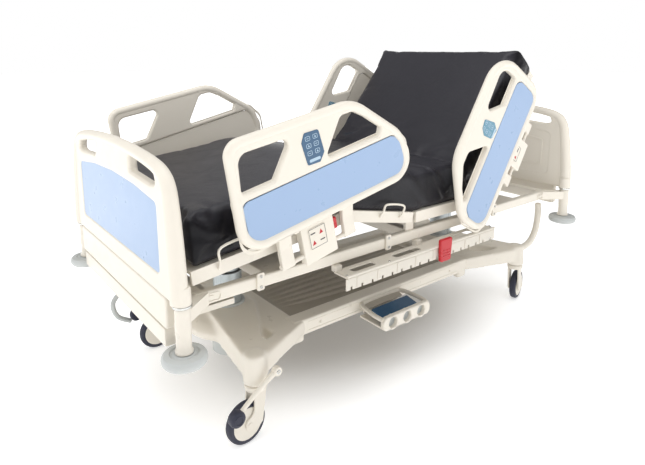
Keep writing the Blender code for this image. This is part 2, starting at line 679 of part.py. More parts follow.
RAIL_OUTLINE = {
    "foot": [(-0.362, 0.206, 0.055), (0.135, 0.200, 0.160), (0.340, 0.020, 0.130), (0.370, -0.157, 0.085),
             (-0.383, -0.153, 0.088)],
    "head": [(-0.352, 0.205, 0.150), (0.170, 0.209, 0.150), (0.362, 0.029, 0.110), (0.366, -0.166, 0.090),
             (-0.366, -0.178, 0.085)],
}
RAIL_GRIPS = {
    "foot": [[(-0.338, 0.042, 0.012), (-0.324, 0.158, 0.035), (-0.134, 0.152, 0.018), (-0.224, 0.040, 0.015)],
             [(-0.020, 0.042, 0.012), (0.068, 0.160, 0.030), (0.122, 0.158, 0.040), (0.240, 0.078, 0.022),
              (0.222, 0.042, 0.012)]],
    "head": [[(-0.306, 0.036, 0.015), (-0.297, 0.150, 0.060), (-0.082, 0.142, 0.018), (-0.178, 0.036, 0.018)],
             [(0.018, 0.036, 0.012), (0.105, 0.146, 0.030), (0.160, 0.146, 0.035), (0.290, 0.066, 0.015),
              (0.275, 0.036, 0.012)]],
}
RAIL_INSERT = {
    "foot": [(-0.342, 0.010, 0.025), (0.285, 0.019, 0.035), (0.338, -0.050, 0.050), (0.334, -0.120, 0.050),
             (-0.342, -0.134, 0.050)],
    "head": [(-0.312, 0.012, 0.045), (0.300, 0.014, 0.035), (0.340, -0.050, 0.040), (0.336, -0.140, 0.055),
             (-0.314, -0.160, 0.060)],
}


def rail_insert(end, grow):
    """The coloured insert's outline, with its sides moved out by grow."""
    return [(u + math.copysign(grow, u), v + math.copysign(grow, v + 0.06), r)
            for u, v, r in RAIL_INSERT[end]]


def make_panel(end, name, frame, direction, arms):
    """The moulded panel with its hand grips, the lugs on the swing arms' pins, and the coloured insert."""
    outlines = [rounded(facing(RAIL_OUTLINE[end], direction), 5)]
    outlines += [rounded(facing(grip, direction), 2) for grip in RAIL_GRIPS[end]]
    panel = plate("rail_panel_" + name, outlines, RAIL_THICK, "ivory",
                  frame @ Matrix.Translation((0, 0, RAIL_INNER + RAIL_THICK / 2)), edge=0.008)
    lugs = []
    for u, inward in arms:
        lug_u = u + inward * 0.036
        lugs.append(box("lug", (lug_u - 0.010, ARM_TOP_V - 0.014, ARM_TOP_W - 0.012),
                        (lug_u + 0.010, ARM_TOP_V + 0.014, RAIL_INNER + 0.006), frame=frame))
    union(panel, *lugs)
    outer_face = RAIL_INNER + RAIL_THICK
    cutter = plate("rail_recess", [rounded(facing(rail_insert(end, 0.0004), direction))], 0.010, None,
                   frame @ Matrix.Translation((0, 0, outer_face + 0.005 - RECESS)))
    pin_bore = rod("pin_bore", frame @ Vector((-0.30, ARM_TOP_V, ARM_TOP_W)),
                   frame @ Vector((0.30, ARM_TOP_V, ARM_TOP_W)), ARM_PIN_RADIUS + 0.0006, sides=12)
    cut(panel, cutter, pin_bore)
    plate("rail_insert_" + name, [rounded(facing(rail_insert(end, 0.0), direction))], INSERT_THICK, "blue",
          frame @ Matrix.Translation((0, 0, outer_face - RECESS + GAP + INSERT_THICK / 2)))


def make_arms(name, frame, arms):
    """The pair of dog-leg swing arms on their common shaft, each with the pin that carries the panel."""
    low = Vector((0, ARM_PIVOT_V, ARM_PIVOT_W))
    high = Vector((0, ARM_TOP_V, ARM_TOP_W))
    middle_v = (low.y + high.y) / 2
    dog_leg = rounded([(low.z - 0.012, low.y - 0.012, 0.008), (low.z + 0.012, low.y - 0.012, 0.008),
                       (low.z + 0.020, middle_v, 0.02), (high.z + 0.011, high.y - 0.01, 0.004),
                       (high.z + 0.011, high.y + 0.011, 0.006), (high.z - 0.011, high.y + 0.011, 0.006),
                       (low.z - 0.006, middle_v, 0.02)], 1)
    (first, _), (second, _) = arms
    shaft = rod("rail_arms_" + name, frame @ Vector((first, low.y, low.z)),
                frame @ Vector((second, low.y, low.z)), ARM_SHAFT_RADIUS, "ivory", sides=12)
    pieces = []
    for u, inward in arms:
        side_view = axes((u, 0, 0), (0, 0, 1), (0, 1, 0), (-1, 0, 0))
        pieces.append(plate("arm", [dog_leg], 0.050, None, frame @ side_view))
        pieces.append(rod("arm_pin", frame @ Vector((u, high.y, high.z)),
                          frame @ Vector((u + inward * 0.044, high.y, high.z)), ARM_PIN_RADIUS, sides=12))
    union(shaft, *pieces)


def make_housing(frame, direction, side, deck, section):
    """Joins the housing and its bridge to the deck section, and returns the cutter for the arms' shaft."""
    middle = direction * ARM_MIDDLE_U
    housing = box("rail_housing", (middle - 0.070, -0.310, MATTRESS_Y + 0.002),
                  (middle + 0.070, -0.120, ARM_PIVOT_W + 0.014), frame=frame, bevel=0.006)
    reach = section.inverted() @ frame @ Vector((middle, -0.200, 0.0))
    across = side * section.col[0].y
    inner, outer = sorted((across * (DECK_Y - SHEET), across * (MATTRESS_Y + 0.008)))
    bridge = box("rail_bridge", (inner, AXIS_DROP - FLANGE + 0.001, reach.z - 0.055),
                 (outer, AXIS_DROP - 0.003, reach.z + 0.055), frame=section)
    union(deck, bridge, housing)
    return rod("rod_bore", frame @ Vector((middle - 0.12, ARM_PIVOT_V, ARM_PIVOT_W)),
               frame @ Vector((middle + 0.12, ARM_PIVOT_V, ARM_PIVOT_W)), ARM_SHAFT_RADIUS + 0.0007, sides=12)


def make_rails(calf, back):
    """Four siderails: the foot pair on the calf section and the head pair, turned round, on the back."""
    for end, rail, direction, deck, section in (("foot", FOOT_RAIL, 1, calf, CALF_FRAME),
                                                ("head", HEAD_RAIL, -1, back, BACK_FRAME)):
        arms = [(direction * (ARM_MIDDLE_U - ARM_SPACING), direction),
                (direction * (ARM_MIDDLE_U + ARM_SPACING), -direction)]
        bores = []
        for side, hand in ((-1, "left"), (1, "right")):
            name = end + "_" + hand
            frame = rail_frame(rail, side)
            make_panel(end, name, frame, direction, arms)
            make_arms(name, frame, arms)
            bores.append(make_housing(frame, direction, side, deck, section))
        cut(deck, *bores)


def make_actuators():
    """Gear motors that drive the back and the knee, fixed to the middle frame's cross members."""
    for name, start, step, reach in (("back_actuator", FRAME_BAYS[2][0], 1, 0.305),
                                     ("knee_actuator", FRAME_BAYS[1][1], -1, 0.285)):
        y = -0.10 * step
        near = start + step * GAP
        far = start + step * 0.12
        body = box(name, (min(near, far), y - 0.045, 0.555), (max(near, far), y + 0.045, 0.625), "grey",
                   bevel=0.008)
        union(body, rod("actuator_tube", (far - step * 0.02, y, 0.590),
                        (start + step * reach, y, 0.590), 0.022))


def set_origin(name, point):
    """Moves an object's origin to a world point and leaves its surface where it is."""
    made = bpy.data.objects[name]
    shift = made.matrix_world.inverted() @ Vector(point)
    made.data.transform(Matrix.Translation(-shift))
    made.matrix_world = made.matrix_world @ Matrix.Translation(shift)


def set_origins():
    """Puts the origin of every hinged piece on its hinge."""
    for section, frame in (("back", BACK_FRAME), ("thigh", THIGH_FRAME), ("calf", CALF_FRAME)):
        set_origin(section + "_deck", frame.translation)
        set_origin("mattress_" + section, frame.translation)
    for end, rail in (("foot", FOOT_RAIL), ("head", HEAD_RAIL)):
        for side, hand in ((-1, "left"), (1, "right")):
            frame = rail_frame(rail, side)
            set_origin(f"rail_arms_{end}_{hand}", frame @ Vector((0, ARM_PIVOT_V, ARM_PIVOT_W)))
            set_origin(f"rail_panel_{end}_{hand}", frame @ Vector((0, ARM_TOP_V, ARM_TOP_W)))
            set_origin(f"rail_insert_{end}_{hand}", frame @ Vector((0, ARM_TOP_V, ARM_TOP_W)))
    for name, (x, y, _) in CASTORS.items():
        set_origin("castor_fork_" + name, (x, y, 0))
    set_origin("brake_pedal_left", (-0.725, -PEDAL_Y, 0.258))
    set_origin("brake_pedal_right", (-0.725, PEDAL_Y, 0.258))
    set_origin("steer_hoop", (-0.775, HOOP_Y, 0.285))
    set_origin("foot_switch", (-0.095, -0.360, 0.272))
    set_origin("cpr_handle", (0.066, -0.511, 0.560))


def main():
    make_base()
    make_columns()
    make_castors()
    make_pedals()
    make_foot_control()
    make_middle_frame()
    make_bumpers()
    make_boards()
    make_shelf()
    make_accessory_rails()
    make_release_handle()
    calf, back = make_deck()
    make_rails(calf, back)
    make_actuators()
    set_origins()


main()
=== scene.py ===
"""Adjustable hospital bed: the detailed surfaces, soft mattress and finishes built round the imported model.

Run it as a script in Blender.  It is laid out as an add-on: one operator makes each group of pieces.
"""

import json
import math

import bmesh
import bpy
from mathutils import Matrix, Vector, noise


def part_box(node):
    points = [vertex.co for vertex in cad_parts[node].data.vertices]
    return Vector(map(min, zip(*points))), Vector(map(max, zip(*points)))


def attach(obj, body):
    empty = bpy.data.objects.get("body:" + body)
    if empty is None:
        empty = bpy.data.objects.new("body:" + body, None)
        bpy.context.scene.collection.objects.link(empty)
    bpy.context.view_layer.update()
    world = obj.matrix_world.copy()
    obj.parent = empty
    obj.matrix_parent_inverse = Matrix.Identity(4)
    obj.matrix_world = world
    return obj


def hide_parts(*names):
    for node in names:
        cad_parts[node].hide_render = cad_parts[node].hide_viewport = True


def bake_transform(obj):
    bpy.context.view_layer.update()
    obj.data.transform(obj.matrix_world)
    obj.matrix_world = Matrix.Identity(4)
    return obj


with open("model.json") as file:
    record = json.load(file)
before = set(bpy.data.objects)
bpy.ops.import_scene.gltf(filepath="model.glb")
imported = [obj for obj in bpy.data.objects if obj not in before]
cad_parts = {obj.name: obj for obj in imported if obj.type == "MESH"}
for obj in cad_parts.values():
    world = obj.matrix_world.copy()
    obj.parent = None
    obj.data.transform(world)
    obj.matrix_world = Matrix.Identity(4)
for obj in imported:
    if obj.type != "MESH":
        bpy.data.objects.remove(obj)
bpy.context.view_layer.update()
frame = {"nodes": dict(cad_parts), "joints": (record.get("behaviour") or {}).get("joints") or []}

bl_info = {
    "name": "Hospital Bed Builder",
    "version": (1, 0, 0),
    "blender": (4, 5, 0),
    "location": "View3D > Sidebar > Hospital Bed",
    "description": "Builds an adjustable hospital bed with its mattress, siderails, boards, base and studio",
    "category": "Add Mesh",
}

JOINTS = {joint["name"]: joint for joint in frame["joints"]}
CORNERS = ("foot_left", "foot_right", "head_left", "head_right")
UP = Vector((0, 0, 1))


def pivot(name):
    """A joint's point in the row frame."""
    return Vector(JOINTS[name]["pos_m"])


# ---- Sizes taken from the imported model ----

BACK_PIVOT = pivot("back_raise")
THIGH_PIVOT = pivot("thigh_raise")
KNEE = pivot("knee_bend")
BACK_ANGLE = math.radians(-JOINTS["back_raise"]["range_deg"][0])
THIGH_ANGLE = math.radians(-JOINTS["thigh_raise"]["range_deg"][0])
CALF_ANGLE = math.asin((KNEE.z - THIGH_PIVOT.z) / 0.626)
AXIS_DROP = 0.020               # the deck's hinge axes lie this far under its top surface
MATTRESS_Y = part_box("mattress_seat")[1].y
MATTRESS_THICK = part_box("mattress_seat")[1].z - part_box("seat_deck")[1].z
THIGH_LENGTH = (KNEE - THIGH_PIVOT).length
SEAT_LENGTH = BACK_PIVOT.x - THIGH_PIVOT.x
FRAME_LOW_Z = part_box("accessory_rail_left")[1].z + 0.0003
POST_X = pivot("bumper_head_left_roll").x
POST_Y = pivot("bumper_head_right_roll").y
COLUMN_X = (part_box("column_stage_head")[0].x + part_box("column_stage_head")[1].x) / 2


# ---- Shape makers: each gives a mesh in the row frame ----

def axes(origin, x, y, z):
    """A frame whose local axes point along three directions."""
    turn = Matrix((Vector(x), Vector(y), Vector(z))).transposed().to_4x4()
    return Matrix.Translation(Vector(origin)) @ turn


def taken(shape, where=None):
    """Turns a bmesh into a mesh, placed by a matrix, with its faces pointing out."""
    mesh = bpy.data.meshes.new("shape")
    if where is not None:
        shape.transform(where)
    bmesh.ops.remove_doubles(shape, verts=shape.verts, dist=0.00001)
    bmesh.ops.recalc_face_normals(shape, faces=shape.faces)
    shape.to_mesh(mesh)
    shape.free()
    return mesh


def block(low, high, bevel=0.002, where=None, segments=3):
    """A box between two corners with rounded edges."""
    low, high = Vector(low), Vector(high)
    shape = bmesh.new()
    bmesh.ops.create_cube(shape, size=1.0)
    bmesh.ops.scale(shape, vec=[abs(d) for d in high - low], verts=shape.verts)
    bmesh.ops.translate(shape, vec=(low + high) / 2, verts=shape.verts)
    if bevel:
        bmesh.ops.bevel(shape, geom=shape.edges[:], offset=bevel, segments=segments, profile=0.5,
                        affect="EDGES", clamp_overlap=True)
    return taken(shape, where)


def bar(start, end, radius, end_radius=None, sides=32, bevel=0.0015):
    """A round bar or cone between two points, with rounded rims."""
    start, end = Vector(start), Vector(end)
    along = end - start
    last = radius if end_radius is None else end_radius
    length = along.length
    bevel = min(bevel, radius * 0.4, last * 0.4, length * 0.4)
    profile = [(0, length), (last - bevel, length), (last - bevel * 0.3, length - bevel * 0.3),
               (last, length - bevel),
               (radius, bevel), (radius - bevel * 0.3, bevel * 0.3), (radius - bevel, 0), (0, 0)]
    return turned(profile, start, along, sides)


def turned(profile, centre, axis=UP, steps=48):
    """A profile of (radius, height) points turned about an axis."""
    shape = bmesh.new()
    corners = [shape.verts.new((r, 0.0, h)) for r, h in profile]
    pairs = list(zip(corners, corners[1:]))
    if profile[0][0] > 0 or profile[-1][0] > 0:
        pairs.append((corners[-1], corners[0]))
    edges = [shape.edges.new(pair) for pair in pairs]
    bmesh.ops.spin(shape, geom=corners + edges, cent=(0, 0, 0), axis=(0, 0, 1), angle=math.tau, steps=steps,
                   use_merge=True, use_normal_flip=False)
    turn = UP.rotation_difference(Vector(axis)).to_matrix().to_4x4()
    return taken(shape, Matrix.Translation(Vector(centre)) @ turn)


def from_curve(curve, where=None):
    """The closed mesh of a curve, which is then removed."""
    made = bpy.data.objects.new("curve", curve)
    bpy.context.scene.collection.objects.link(made)
    view = bpy.context.evaluated_depsgraph_get()
    mesh = bpy.data.meshes.new_from_object(made.evaluated_get(view))
    shape = bmesh.new()
    shape.from_mesh(mesh)
    bpy.data.objects.remove(made)
    bpy.data.curves.remove(curve)
    bpy.data.meshes.remove(mesh)
    return taken(shape, where)


def moulding(outlines, thickness, edge, where=None, steps=4):
    """A flat outline with its holes, centred on the local XY plane, with rounded edges."""
    curve = bpy.data.curves.new("moulding", "CURVE")
    curve.dimensions = "2D"
    curve.fill_mode = "BOTH"
    curve.extrude = thickness / 2 - edge
    curve.bevel_depth = edge
    curve.bevel_resolution = steps
    curve.offset = -edge
    for outline in outlines:
        spline = curve.splines.new("POLY")
        spline.points.add(len(outline) - 1)
        for point, (x, y) in zip(spline.points, outline):
            point.co = (x, y, 0.0, 1.0)
        spline.use_cyclic_u = True
    return from_curve(curve, where)


def smooth_path(points, steps, closed=False):
    """Points along a curve that passes through every given point."""
    points = [Vector(p) for p in points]
    count = len(points)
    path = []
    for i in range(count if closed else count - 1):
        start, end = points[i], points[(i + 1) % count]
        before = points[(i - 1) % count] if closed else points[max(i - 1, 0)]
        after = points[(i + 2) % count] if closed else points[min(i + 2, count - 1)]
        leave, arrive = (end - before) / 2, (after - start) / 2
        for k in range(steps):
            t = k / steps
            path.append(start * (2 * t**3 - 3 * t**2 + 1) + leave * (t**3 - 2 * t**2 + t)
                        + end * (3 * t**2 - 2 * t**3) + arrive * (t**3 - t**2))
    if not closed:
        path.append(points[-1])
    return path


def tube(points, radius, steps=6, closed=False, sides=3, radii=None, where=None):
    """A bent round bar on a smooth path."""
    curve = bpy.data.curves.new("tube", "CURVE")
    curve.dimensions = "3D"
    curve.bevel_depth = radius
    curve.bevel_resolution = sides
    curve.use_fill_caps = True
    path = smooth_path(points, steps, closed)
    spline = curve.splines.new("POLY")
    spline.points.add(len(path) - 1)
    for i, (point, place) in enumerate(zip(spline.points, path)):
        point.co = (*place, 1.0)
        if radii:
            t = i / (len(path) - 1) * (len(radii) - 1)
            k = min(int(t), len(radii) - 2)
            point.radius = radii[k] + (radii[k + 1] - radii[k]) * (t - k)
    spline.use_cyclic_u = closed
    return from_curve(curve, where)


def rounded(corners, steps=8):
    """An outline whose corners (x, y, radius) are replaced by arcs."""
    outline = []
    count = len(corners)
    for i, (x, y, radius) in enumerate(corners):
        corner = Vector((x, y))
        if radius == 0:
            outline.append((x, y))
            continue
        to_last = (Vector(corners[i - 1][:2]) - corner).normalized()
        to_next = (Vector(corners[(i + 1) % count][:2]) - corner).normalized()
        half = to_last.angle(to_next) / 2
        reach = radius / math.tan(half)
        middle = corner + (to_last + to_next).normalized() * (radius / math.sin(half))
        start = corner + to_last * reach - middle
        sweep = start.angle_signed(corner + to_next * reach - middle)
        for k in range(steps + 1):
            turn = Matrix.Rotation(-sweep * k / steps, 2)
            outline.append(tuple(middle + turn @ start))
    return outline


def rectangle(x0, y0, x1, y1, radius=0.0):
    return [(x0, y0, radius), (x1, y0, radius), (x1, y1, radius), (x0, y1, radius)]


def inset(outline, distance):
    """An outline with every point moved inwards."""
    count = len(outline)
    area = sum(a[0] * b[1] - a[1] * b[0] for a, b in zip(outline, outline[1:] + outline[:1]))
    moved = []
    for i, (x, y) in enumerate(outline):
        along = (Vector(outline[(i + 1) % count]) - Vector(outline[i - 1])).normalized()
        step = math.copysign(distance, area)
        moved.append((x - along.y * step, y + along.x * step))
    return moved


def cast(meshes, cell=0.007, rounds=8):
    """Solids melted together into one casting with soft fillets."""
    shape = bmesh.new()
    for mesh in meshes:
        shape.from_mesh(mesh)
        bpy.data.meshes.remove(mesh)
    rough = bpy.data.meshes.new("rough")
    shape.to_mesh(rough)
    shape.free()
    made = bpy.data.objects.new("rough", rough)
    bpy.context.scene.collection.objects.link(made)
    remesh = made.modifiers.new("remesh", "REMESH")
    remesh.mode = "VOXEL"
    remesh.voxel_size = cell
    soften = made.modifiers.new("soften", "SMOOTH")
    soften.factor = 0.6
    soften.iterations = rounds
    view = bpy.context.evaluated_depsgraph_get()
    result = bpy.data.meshes.new_from_object(made.evaluated_get(view))
    bpy.data.objects.remove(made)
    bpy.data.meshes.remove(rough)
    return result


def between(start, end, size_start, size_end, up=UP):
    """A tapered block along a line; each size is its width and height."""
    start, end = Vector(start), Vector(end)
    along = (end - start).normalized()
    side = along.cross(Vector(up)).normalized()
    rise = side.cross(along)
    loops = []
    for centre, (width, height) in ((start, size_start), (end, size_end)):
        loops.append([centre + side * width / 2 * a + rise * height / 2 * b
                      for a, b in ((-1, -1), (1, -1), (1, 1), (-1, 1))])
    return lofted(loops)


def refined(node, bevel=0.003, segments=2, angle=28):
    """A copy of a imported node's mesh with its sharp edges rounded."""
    shape = bmesh.new()
    shape.from_mesh(frame["nodes"][node].data)
    bmesh.ops.remove_doubles(shape, verts=shape.verts, dist=0.00002)
    bmesh.ops.dissolve_limit(shape, angle_limit=math.radians(1.0), verts=shape.verts, edges=shape.edges)
    sharp = [e for e in shape.edges if len(e.link_faces) == 2 and e.calc_face_angle(0) > math.radians(angle)]
    bmesh.ops.bevel(shape, geom=sharp, offset=bevel, segments=segments, profile=0.5, affect="EDGES",
                    clamp_overlap=True)
    return taken(shape)


def lofted(loops, closed_ends=True):
    """A skin over loops with the same number of points, from the first to the last."""
    shape = bmesh.new()
    rings = [[shape.verts.new(p) for p in loop] for loop in loops]
    for first, second in zip(rings, rings[1:]):
        for i in range(len(first)):
            j = (i + 1) % len(first)
            shape.faces.new((first[i], first[j], second[j], second[i]))
    if closed_ends:
        shape.faces.new(rings[0])
        shape.faces.new(rings[-1][::-1])
    return taken(shape)


def subdivided(mesh, levels):
    """The mesh after Catmull-Clark subdivision."""
    made = bpy.data.objects.new("cage", mesh)
    bpy.context.scene.collection.objects.link(made)
    made.modifiers.new("smooth", "SUBSURF").levels = levels
    view = bpy.context.evaluated_depsgraph_get()
    result = bpy.data.meshes.new_from_object(made.evaluated_get(view))
    bpy.data.objects.remove(made)
    bpy.data.meshes.remove(mesh)
    return result


# ---- Procedural finishes ----

def add_node(tree, kind, inputs=None, **settings):
    """A shader node with its settings, and its inputs set or linked."""
    made = tree.nodes.new("ShaderNode" + kind)
    for name, value in settings.items():
        setattr(made, name, value)
    for name, value in (inputs or {}).items():
        if isinstance(value, bpy.types.NodeSocket):
            tree.links.new(value, made.inputs[name])
        else:
            made.inputs[name].default_value = value
    return made


def new_surface(name, shader_values):
    """An empty Principled material: its tree, shader and object coordinates."""
    made = bpy.data.materials.new(name)
    made.use_nodes = True
    tree = made.node_tree
    shader = tree.nodes["Principled BSDF"]
    for socket, value in shader_values.items():
        shader.inputs[socket].default_value = value
    coordinates = add_node(tree, "TexCoord").outputs["Object"]
    return made, tree, shader, coordinates


def shade(colour, factor):
    """A colour made darker or lighter, with full alpha."""
    return tuple(min(1.0, c * factor) for c in colour[:3]) + (1.0,)


def finish_surface(name, colour, roughness, tone=0.06, grain=900.0, depth=0.00012, strength=0.25, edge_highlight=0.25,
                   spread=0.07, stretch=(1, 1, 1), **shader_values):
    """Moulded or painted finish: clouded colour, a painted highlight on convex edges, uneven gloss and a fine
    grain.
    """
    made, tree, shader, coordinates = new_surface(name, shader_values)
    placed = add_node(tree, "Mapping", {"Vector": coordinates, "Scale": stretch}).outputs["Vector"]
    cloud = add_node(tree, "TexNoise", {"Vector": placed, "Scale": 5.0, "Detail": 5.0, "Roughness": 0.6})
    base = add_node(tree, "Mix", {"Factor": cloud.outputs["Fac"]}, data_type="RGBA")
    base.inputs[6].default_value = shade(colour, 1.0 - tone)
    base.inputs[7].default_value = shade(colour, 1.0 + tone)
    # Painted highlight: convex edges, found by their pointiness, are mixed towards a colour 1.25 times as
    # light, up to the given strength.
    edge = add_node(tree, "NewGeometry").outputs["Pointiness"]
    edge_highlight_mask = add_node(tree, "MapRange", {"Value": edge, "From Min": 0.52, "From Max": 0.62, "To Max": edge_highlight})
    edge_highlighted = add_node(tree, "Mix", {"Factor": edge_highlight_mask.outputs["Result"]}, data_type="RGBA")
    tree.links.new(base.outputs[2], edge_highlighted.inputs[6])
    edge_highlighted.inputs[7].default_value = shade(colour, 1.25)
    tree.links.new(edge_highlighted.outputs[2], shader.inputs["Base Color"])
    smear = add_node(tree, "TexNoise", {"Vector": placed, "Scale": 22.0, "Detail": 4.0})
    gloss = add_node(tree, "MapRange", {"Value": smear.outputs["Fac"], "From Min": 0.3, "From Max": 0.7,
                                        "To Min": roughness - spread, "To Max": roughness + spread})
    tree.links.new(gloss.outputs["Result"], shader.inputs["Roughness"])
    fine = add_node(tree, "TexNoise", {"Vector": placed, "Scale": grain, "Detail": 2.0})
    bump = add_node(tree, "Bump", {"Height": fine.outputs["Fac"], "Strength": strength, "Distance": depth})
    tree.links.new(bump.outputs["Normal"], shader.inputs["Normal"])
    return made


def cover_fabric(name, colour):
    """Coated stretch cover: a fine knit, soft creases, patches of tone, and painted shade on its long sides.
    """
    made, tree, shader, coordinates = new_surface(name, {"Sheen Weight": 0.04, "Sheen Roughness": 0.45})
    cloud = add_node(tree, "TexNoise", {"Vector": coordinates, "Scale": 4.0, "Detail": 6.0,
                                        "Roughness": 0.65})
    base = add_node(tree, "Mix", {"Factor": cloud.outputs["Fac"]}, data_type="RGBA")
    base.inputs[6].default_value = shade(colour, 0.80)
    base.inputs[7].default_value = shade(colour, 1.25)
    ribs = [add_node(tree, "TexWave", {"Vector": coordinates, "Scale": 420.0, "Distortion": 1.2,
                                       "Detail": 1.0},
                     bands_direction=axis) for axis in ("X", "Y")]
    knit = add_node(tree, "Math", {0: ribs[0].outputs["Fac"], 1: ribs[1].outputs["Fac"]},
                    operation="MULTIPLY")
    thread = add_node(tree, "Mix", {"Factor": knit.outputs[0]}, data_type="RGBA", blend_type="MULTIPLY")
    tree.links.new(base.outputs[2], thread.inputs[6])
    thread.inputs[7].default_value = (0.86, 0.86, 0.88, 1.0)
    # Painted shade: near the long sides (|y| close to MATTRESS_Y) the colour is mixed down to 0.3 of itself
    # and the specular level lowered, standing in for the shade on the cover's sides.
    apart = add_node(tree, "SeparateXYZ", {"Vector": coordinates})
    across = add_node(tree, "Math", {0: apart.outputs["Y"]}, operation="ABSOLUTE")
    side = add_node(tree, "MapRange", {"Value": across.outputs[0], "From Min": MATTRESS_Y - 0.030,
                                       "From Max": MATTRESS_Y - 0.008})
    panel = add_node(tree, "Mix", {"Factor": side.outputs["Result"]}, data_type="RGBA")
    tree.links.new(thread.outputs[2], panel.inputs[6])
    panel.inputs[7].default_value = shade(colour, 0.30)
    tree.links.new(panel.outputs[2], shader.inputs["Base Color"])
    sheen = add_node(tree, "MapRange", {"Value": side.outputs["Result"], "To Min": 0.45, "To Max": 0.16})
    tree.links.new(sheen.outputs["Result"], shader.inputs["Specular IOR Level"])
    crumple = add_node(tree, "TexNoise", {"Vector": coordinates, "Scale": 9.0, "Detail": 6.0,
                                          "Roughness": 0.55, "Distortion": 0.6})
    gloss = add_node(tree, "MapRange", {"Value": crumple.outputs["Fac"], "To Min": 0.26, "To Max": 0.44})
    tree.links.new(gloss.outputs["Result"], shader.inputs["Roughness"])
    soft = add_node(tree, "Bump", {"Height": crumple.outputs["Fac"], "Strength": 0.35, "Distance": 0.006})
    weave = add_node(tree, "Bump", {"Height": knit.outputs[0], "Strength": 0.25, "Distance": 0.0003,
                                    "Normal": soft.outputs["Normal"]})
    tree.links.new(weave.outputs["Normal"], shader.inputs["Normal"])
    return made


def floor_surface(name, colour):
    """Pale studio floor with a faint mottle and a painted glow: white far from the bed, fading to none near
    it, a painted shadow under the bed.
    """
    made, tree, shader, coordinates = new_surface(name, {"Specular IOR Level": 0.25})
    cloud = add_node(tree, "TexNoise", {"Vector": coordinates, "Scale": 1.5, "Detail": 4.0})
    base = add_node(tree, "Mix", {"Factor": cloud.outputs["Fac"]}, data_type="RGBA")
    base.inputs[6].default_value = shade(colour, 0.985)
    base.inputs[7].default_value = shade(colour, 1.0)
    tree.links.new(base.outputs[2], shader.inputs["Base Color"])
    gloss = add_node(tree, "MapRange", {"Value": cloud.outputs["Fac"], "To Min": 0.60, "To Max": 0.72})
    tree.links.new(gloss.outputs["Result"], shader.inputs["Roughness"])
    # Painted light: emission rises with the oval distance from the bed's centre, so the floor glows evenly
    # white far away and stays dark near and under the bed as a painted shadow.
    oval = add_node(tree, "VectorMath", {0: coordinates, 1: (0.52, 1.0, 1.0)}, operation="MULTIPLY")
    away = add_node(tree, "VectorMath", {0: oval.outputs[0]}, operation="LENGTH").outputs["Value"]
    near = add_node(tree, "MapRange", {"Value": away, "From Min": 0.20, "From Max": 0.74, "To Max": 0.62},
                    interpolation_type="SMOOTHSTEP")
    far = add_node(tree, "MapRange", {"Value": away, "From Min": 0.9, "From Max": 3.0, "To Max": 0.6},
                   interpolation_type="SMOOTHSTEP")
    glow = add_node(tree, "Math", {0: near.outputs["Result"], 1: far.outputs["Result"]}, operation="ADD")
    shader.inputs["Emission Color"].default_value = (1.0, 1.0, 1.0, 1.0)
    tree.links.new(glow.outputs[0], shader.inputs["Emission Strength"])
    return made


class BedColours(bpy.types.PropertyGroup):
    """Finish colours, in linear light."""

    ivory: bpy.props.FloatVectorProperty(name="Ivory", description="Moulded and painted parts",
                                         subtype="COLOR", size=3, default=(0.79, 0.74, 0.65))
    insert: bpy.props.FloatVectorProperty(name="Insert", description="Coloured inserts of rails and boards",
                                          subtype="COLOR", size=3, default=(0.31, 0.43, 0.63))
    grey: bpy.props.FloatVectorProperty(name="Grey", description="Bumper wheels and housings",
                                        subtype="COLOR", size=3, default=(0.52, 0.54, 0.53))
    taupe: bpy.props.FloatVectorProperty(name="Taupe", description="Base tray", subtype="COLOR", size=3,
                                         default=(0.42, 0.38, 0.32))
    column: bpy.props.FloatVectorProperty(name="Column", description="Lifting columns", subtype="COLOR",
                                          size=3, default=(0.44, 0.48, 0.49))
    rubber: bpy.props.FloatVectorProperty(name="Rubber", description="Tyres and pedal pads", subtype="COLOR",
                                          size=3, default=(0.022, 0.024, 0.045))
    cover: bpy.props.FloatVectorProperty(name="Cover", description="Mattress cover", subtype="COLOR", size=3,
                                         default=(0.016, 0.015, 0.022))
    red: bpy.props.FloatVectorProperty(name="Red", description="Release handles and latches", subtype="COLOR",
                                       size=3, default=(0.50, 0.012, 0.02))
    steel: bpy.props.FloatVectorProperty(name="Steel", description="Plated bars and screws", subtype="COLOR",
                                         size=3, default=(0.60, 0.60, 0.58))
    navy: bpy.props.FloatVectorProperty(name="Navy", description="Keypads and the foot switch",
                                        subtype="COLOR", size=3, default=(0.045, 0.110, 0.200))
    floor: bpy.props.FloatVectorProperty(name="Floor", description="Studio floor", subtype="COLOR", size=3,
                                         default=(0.90, 0.90, 0.90))


FINISHES = {}


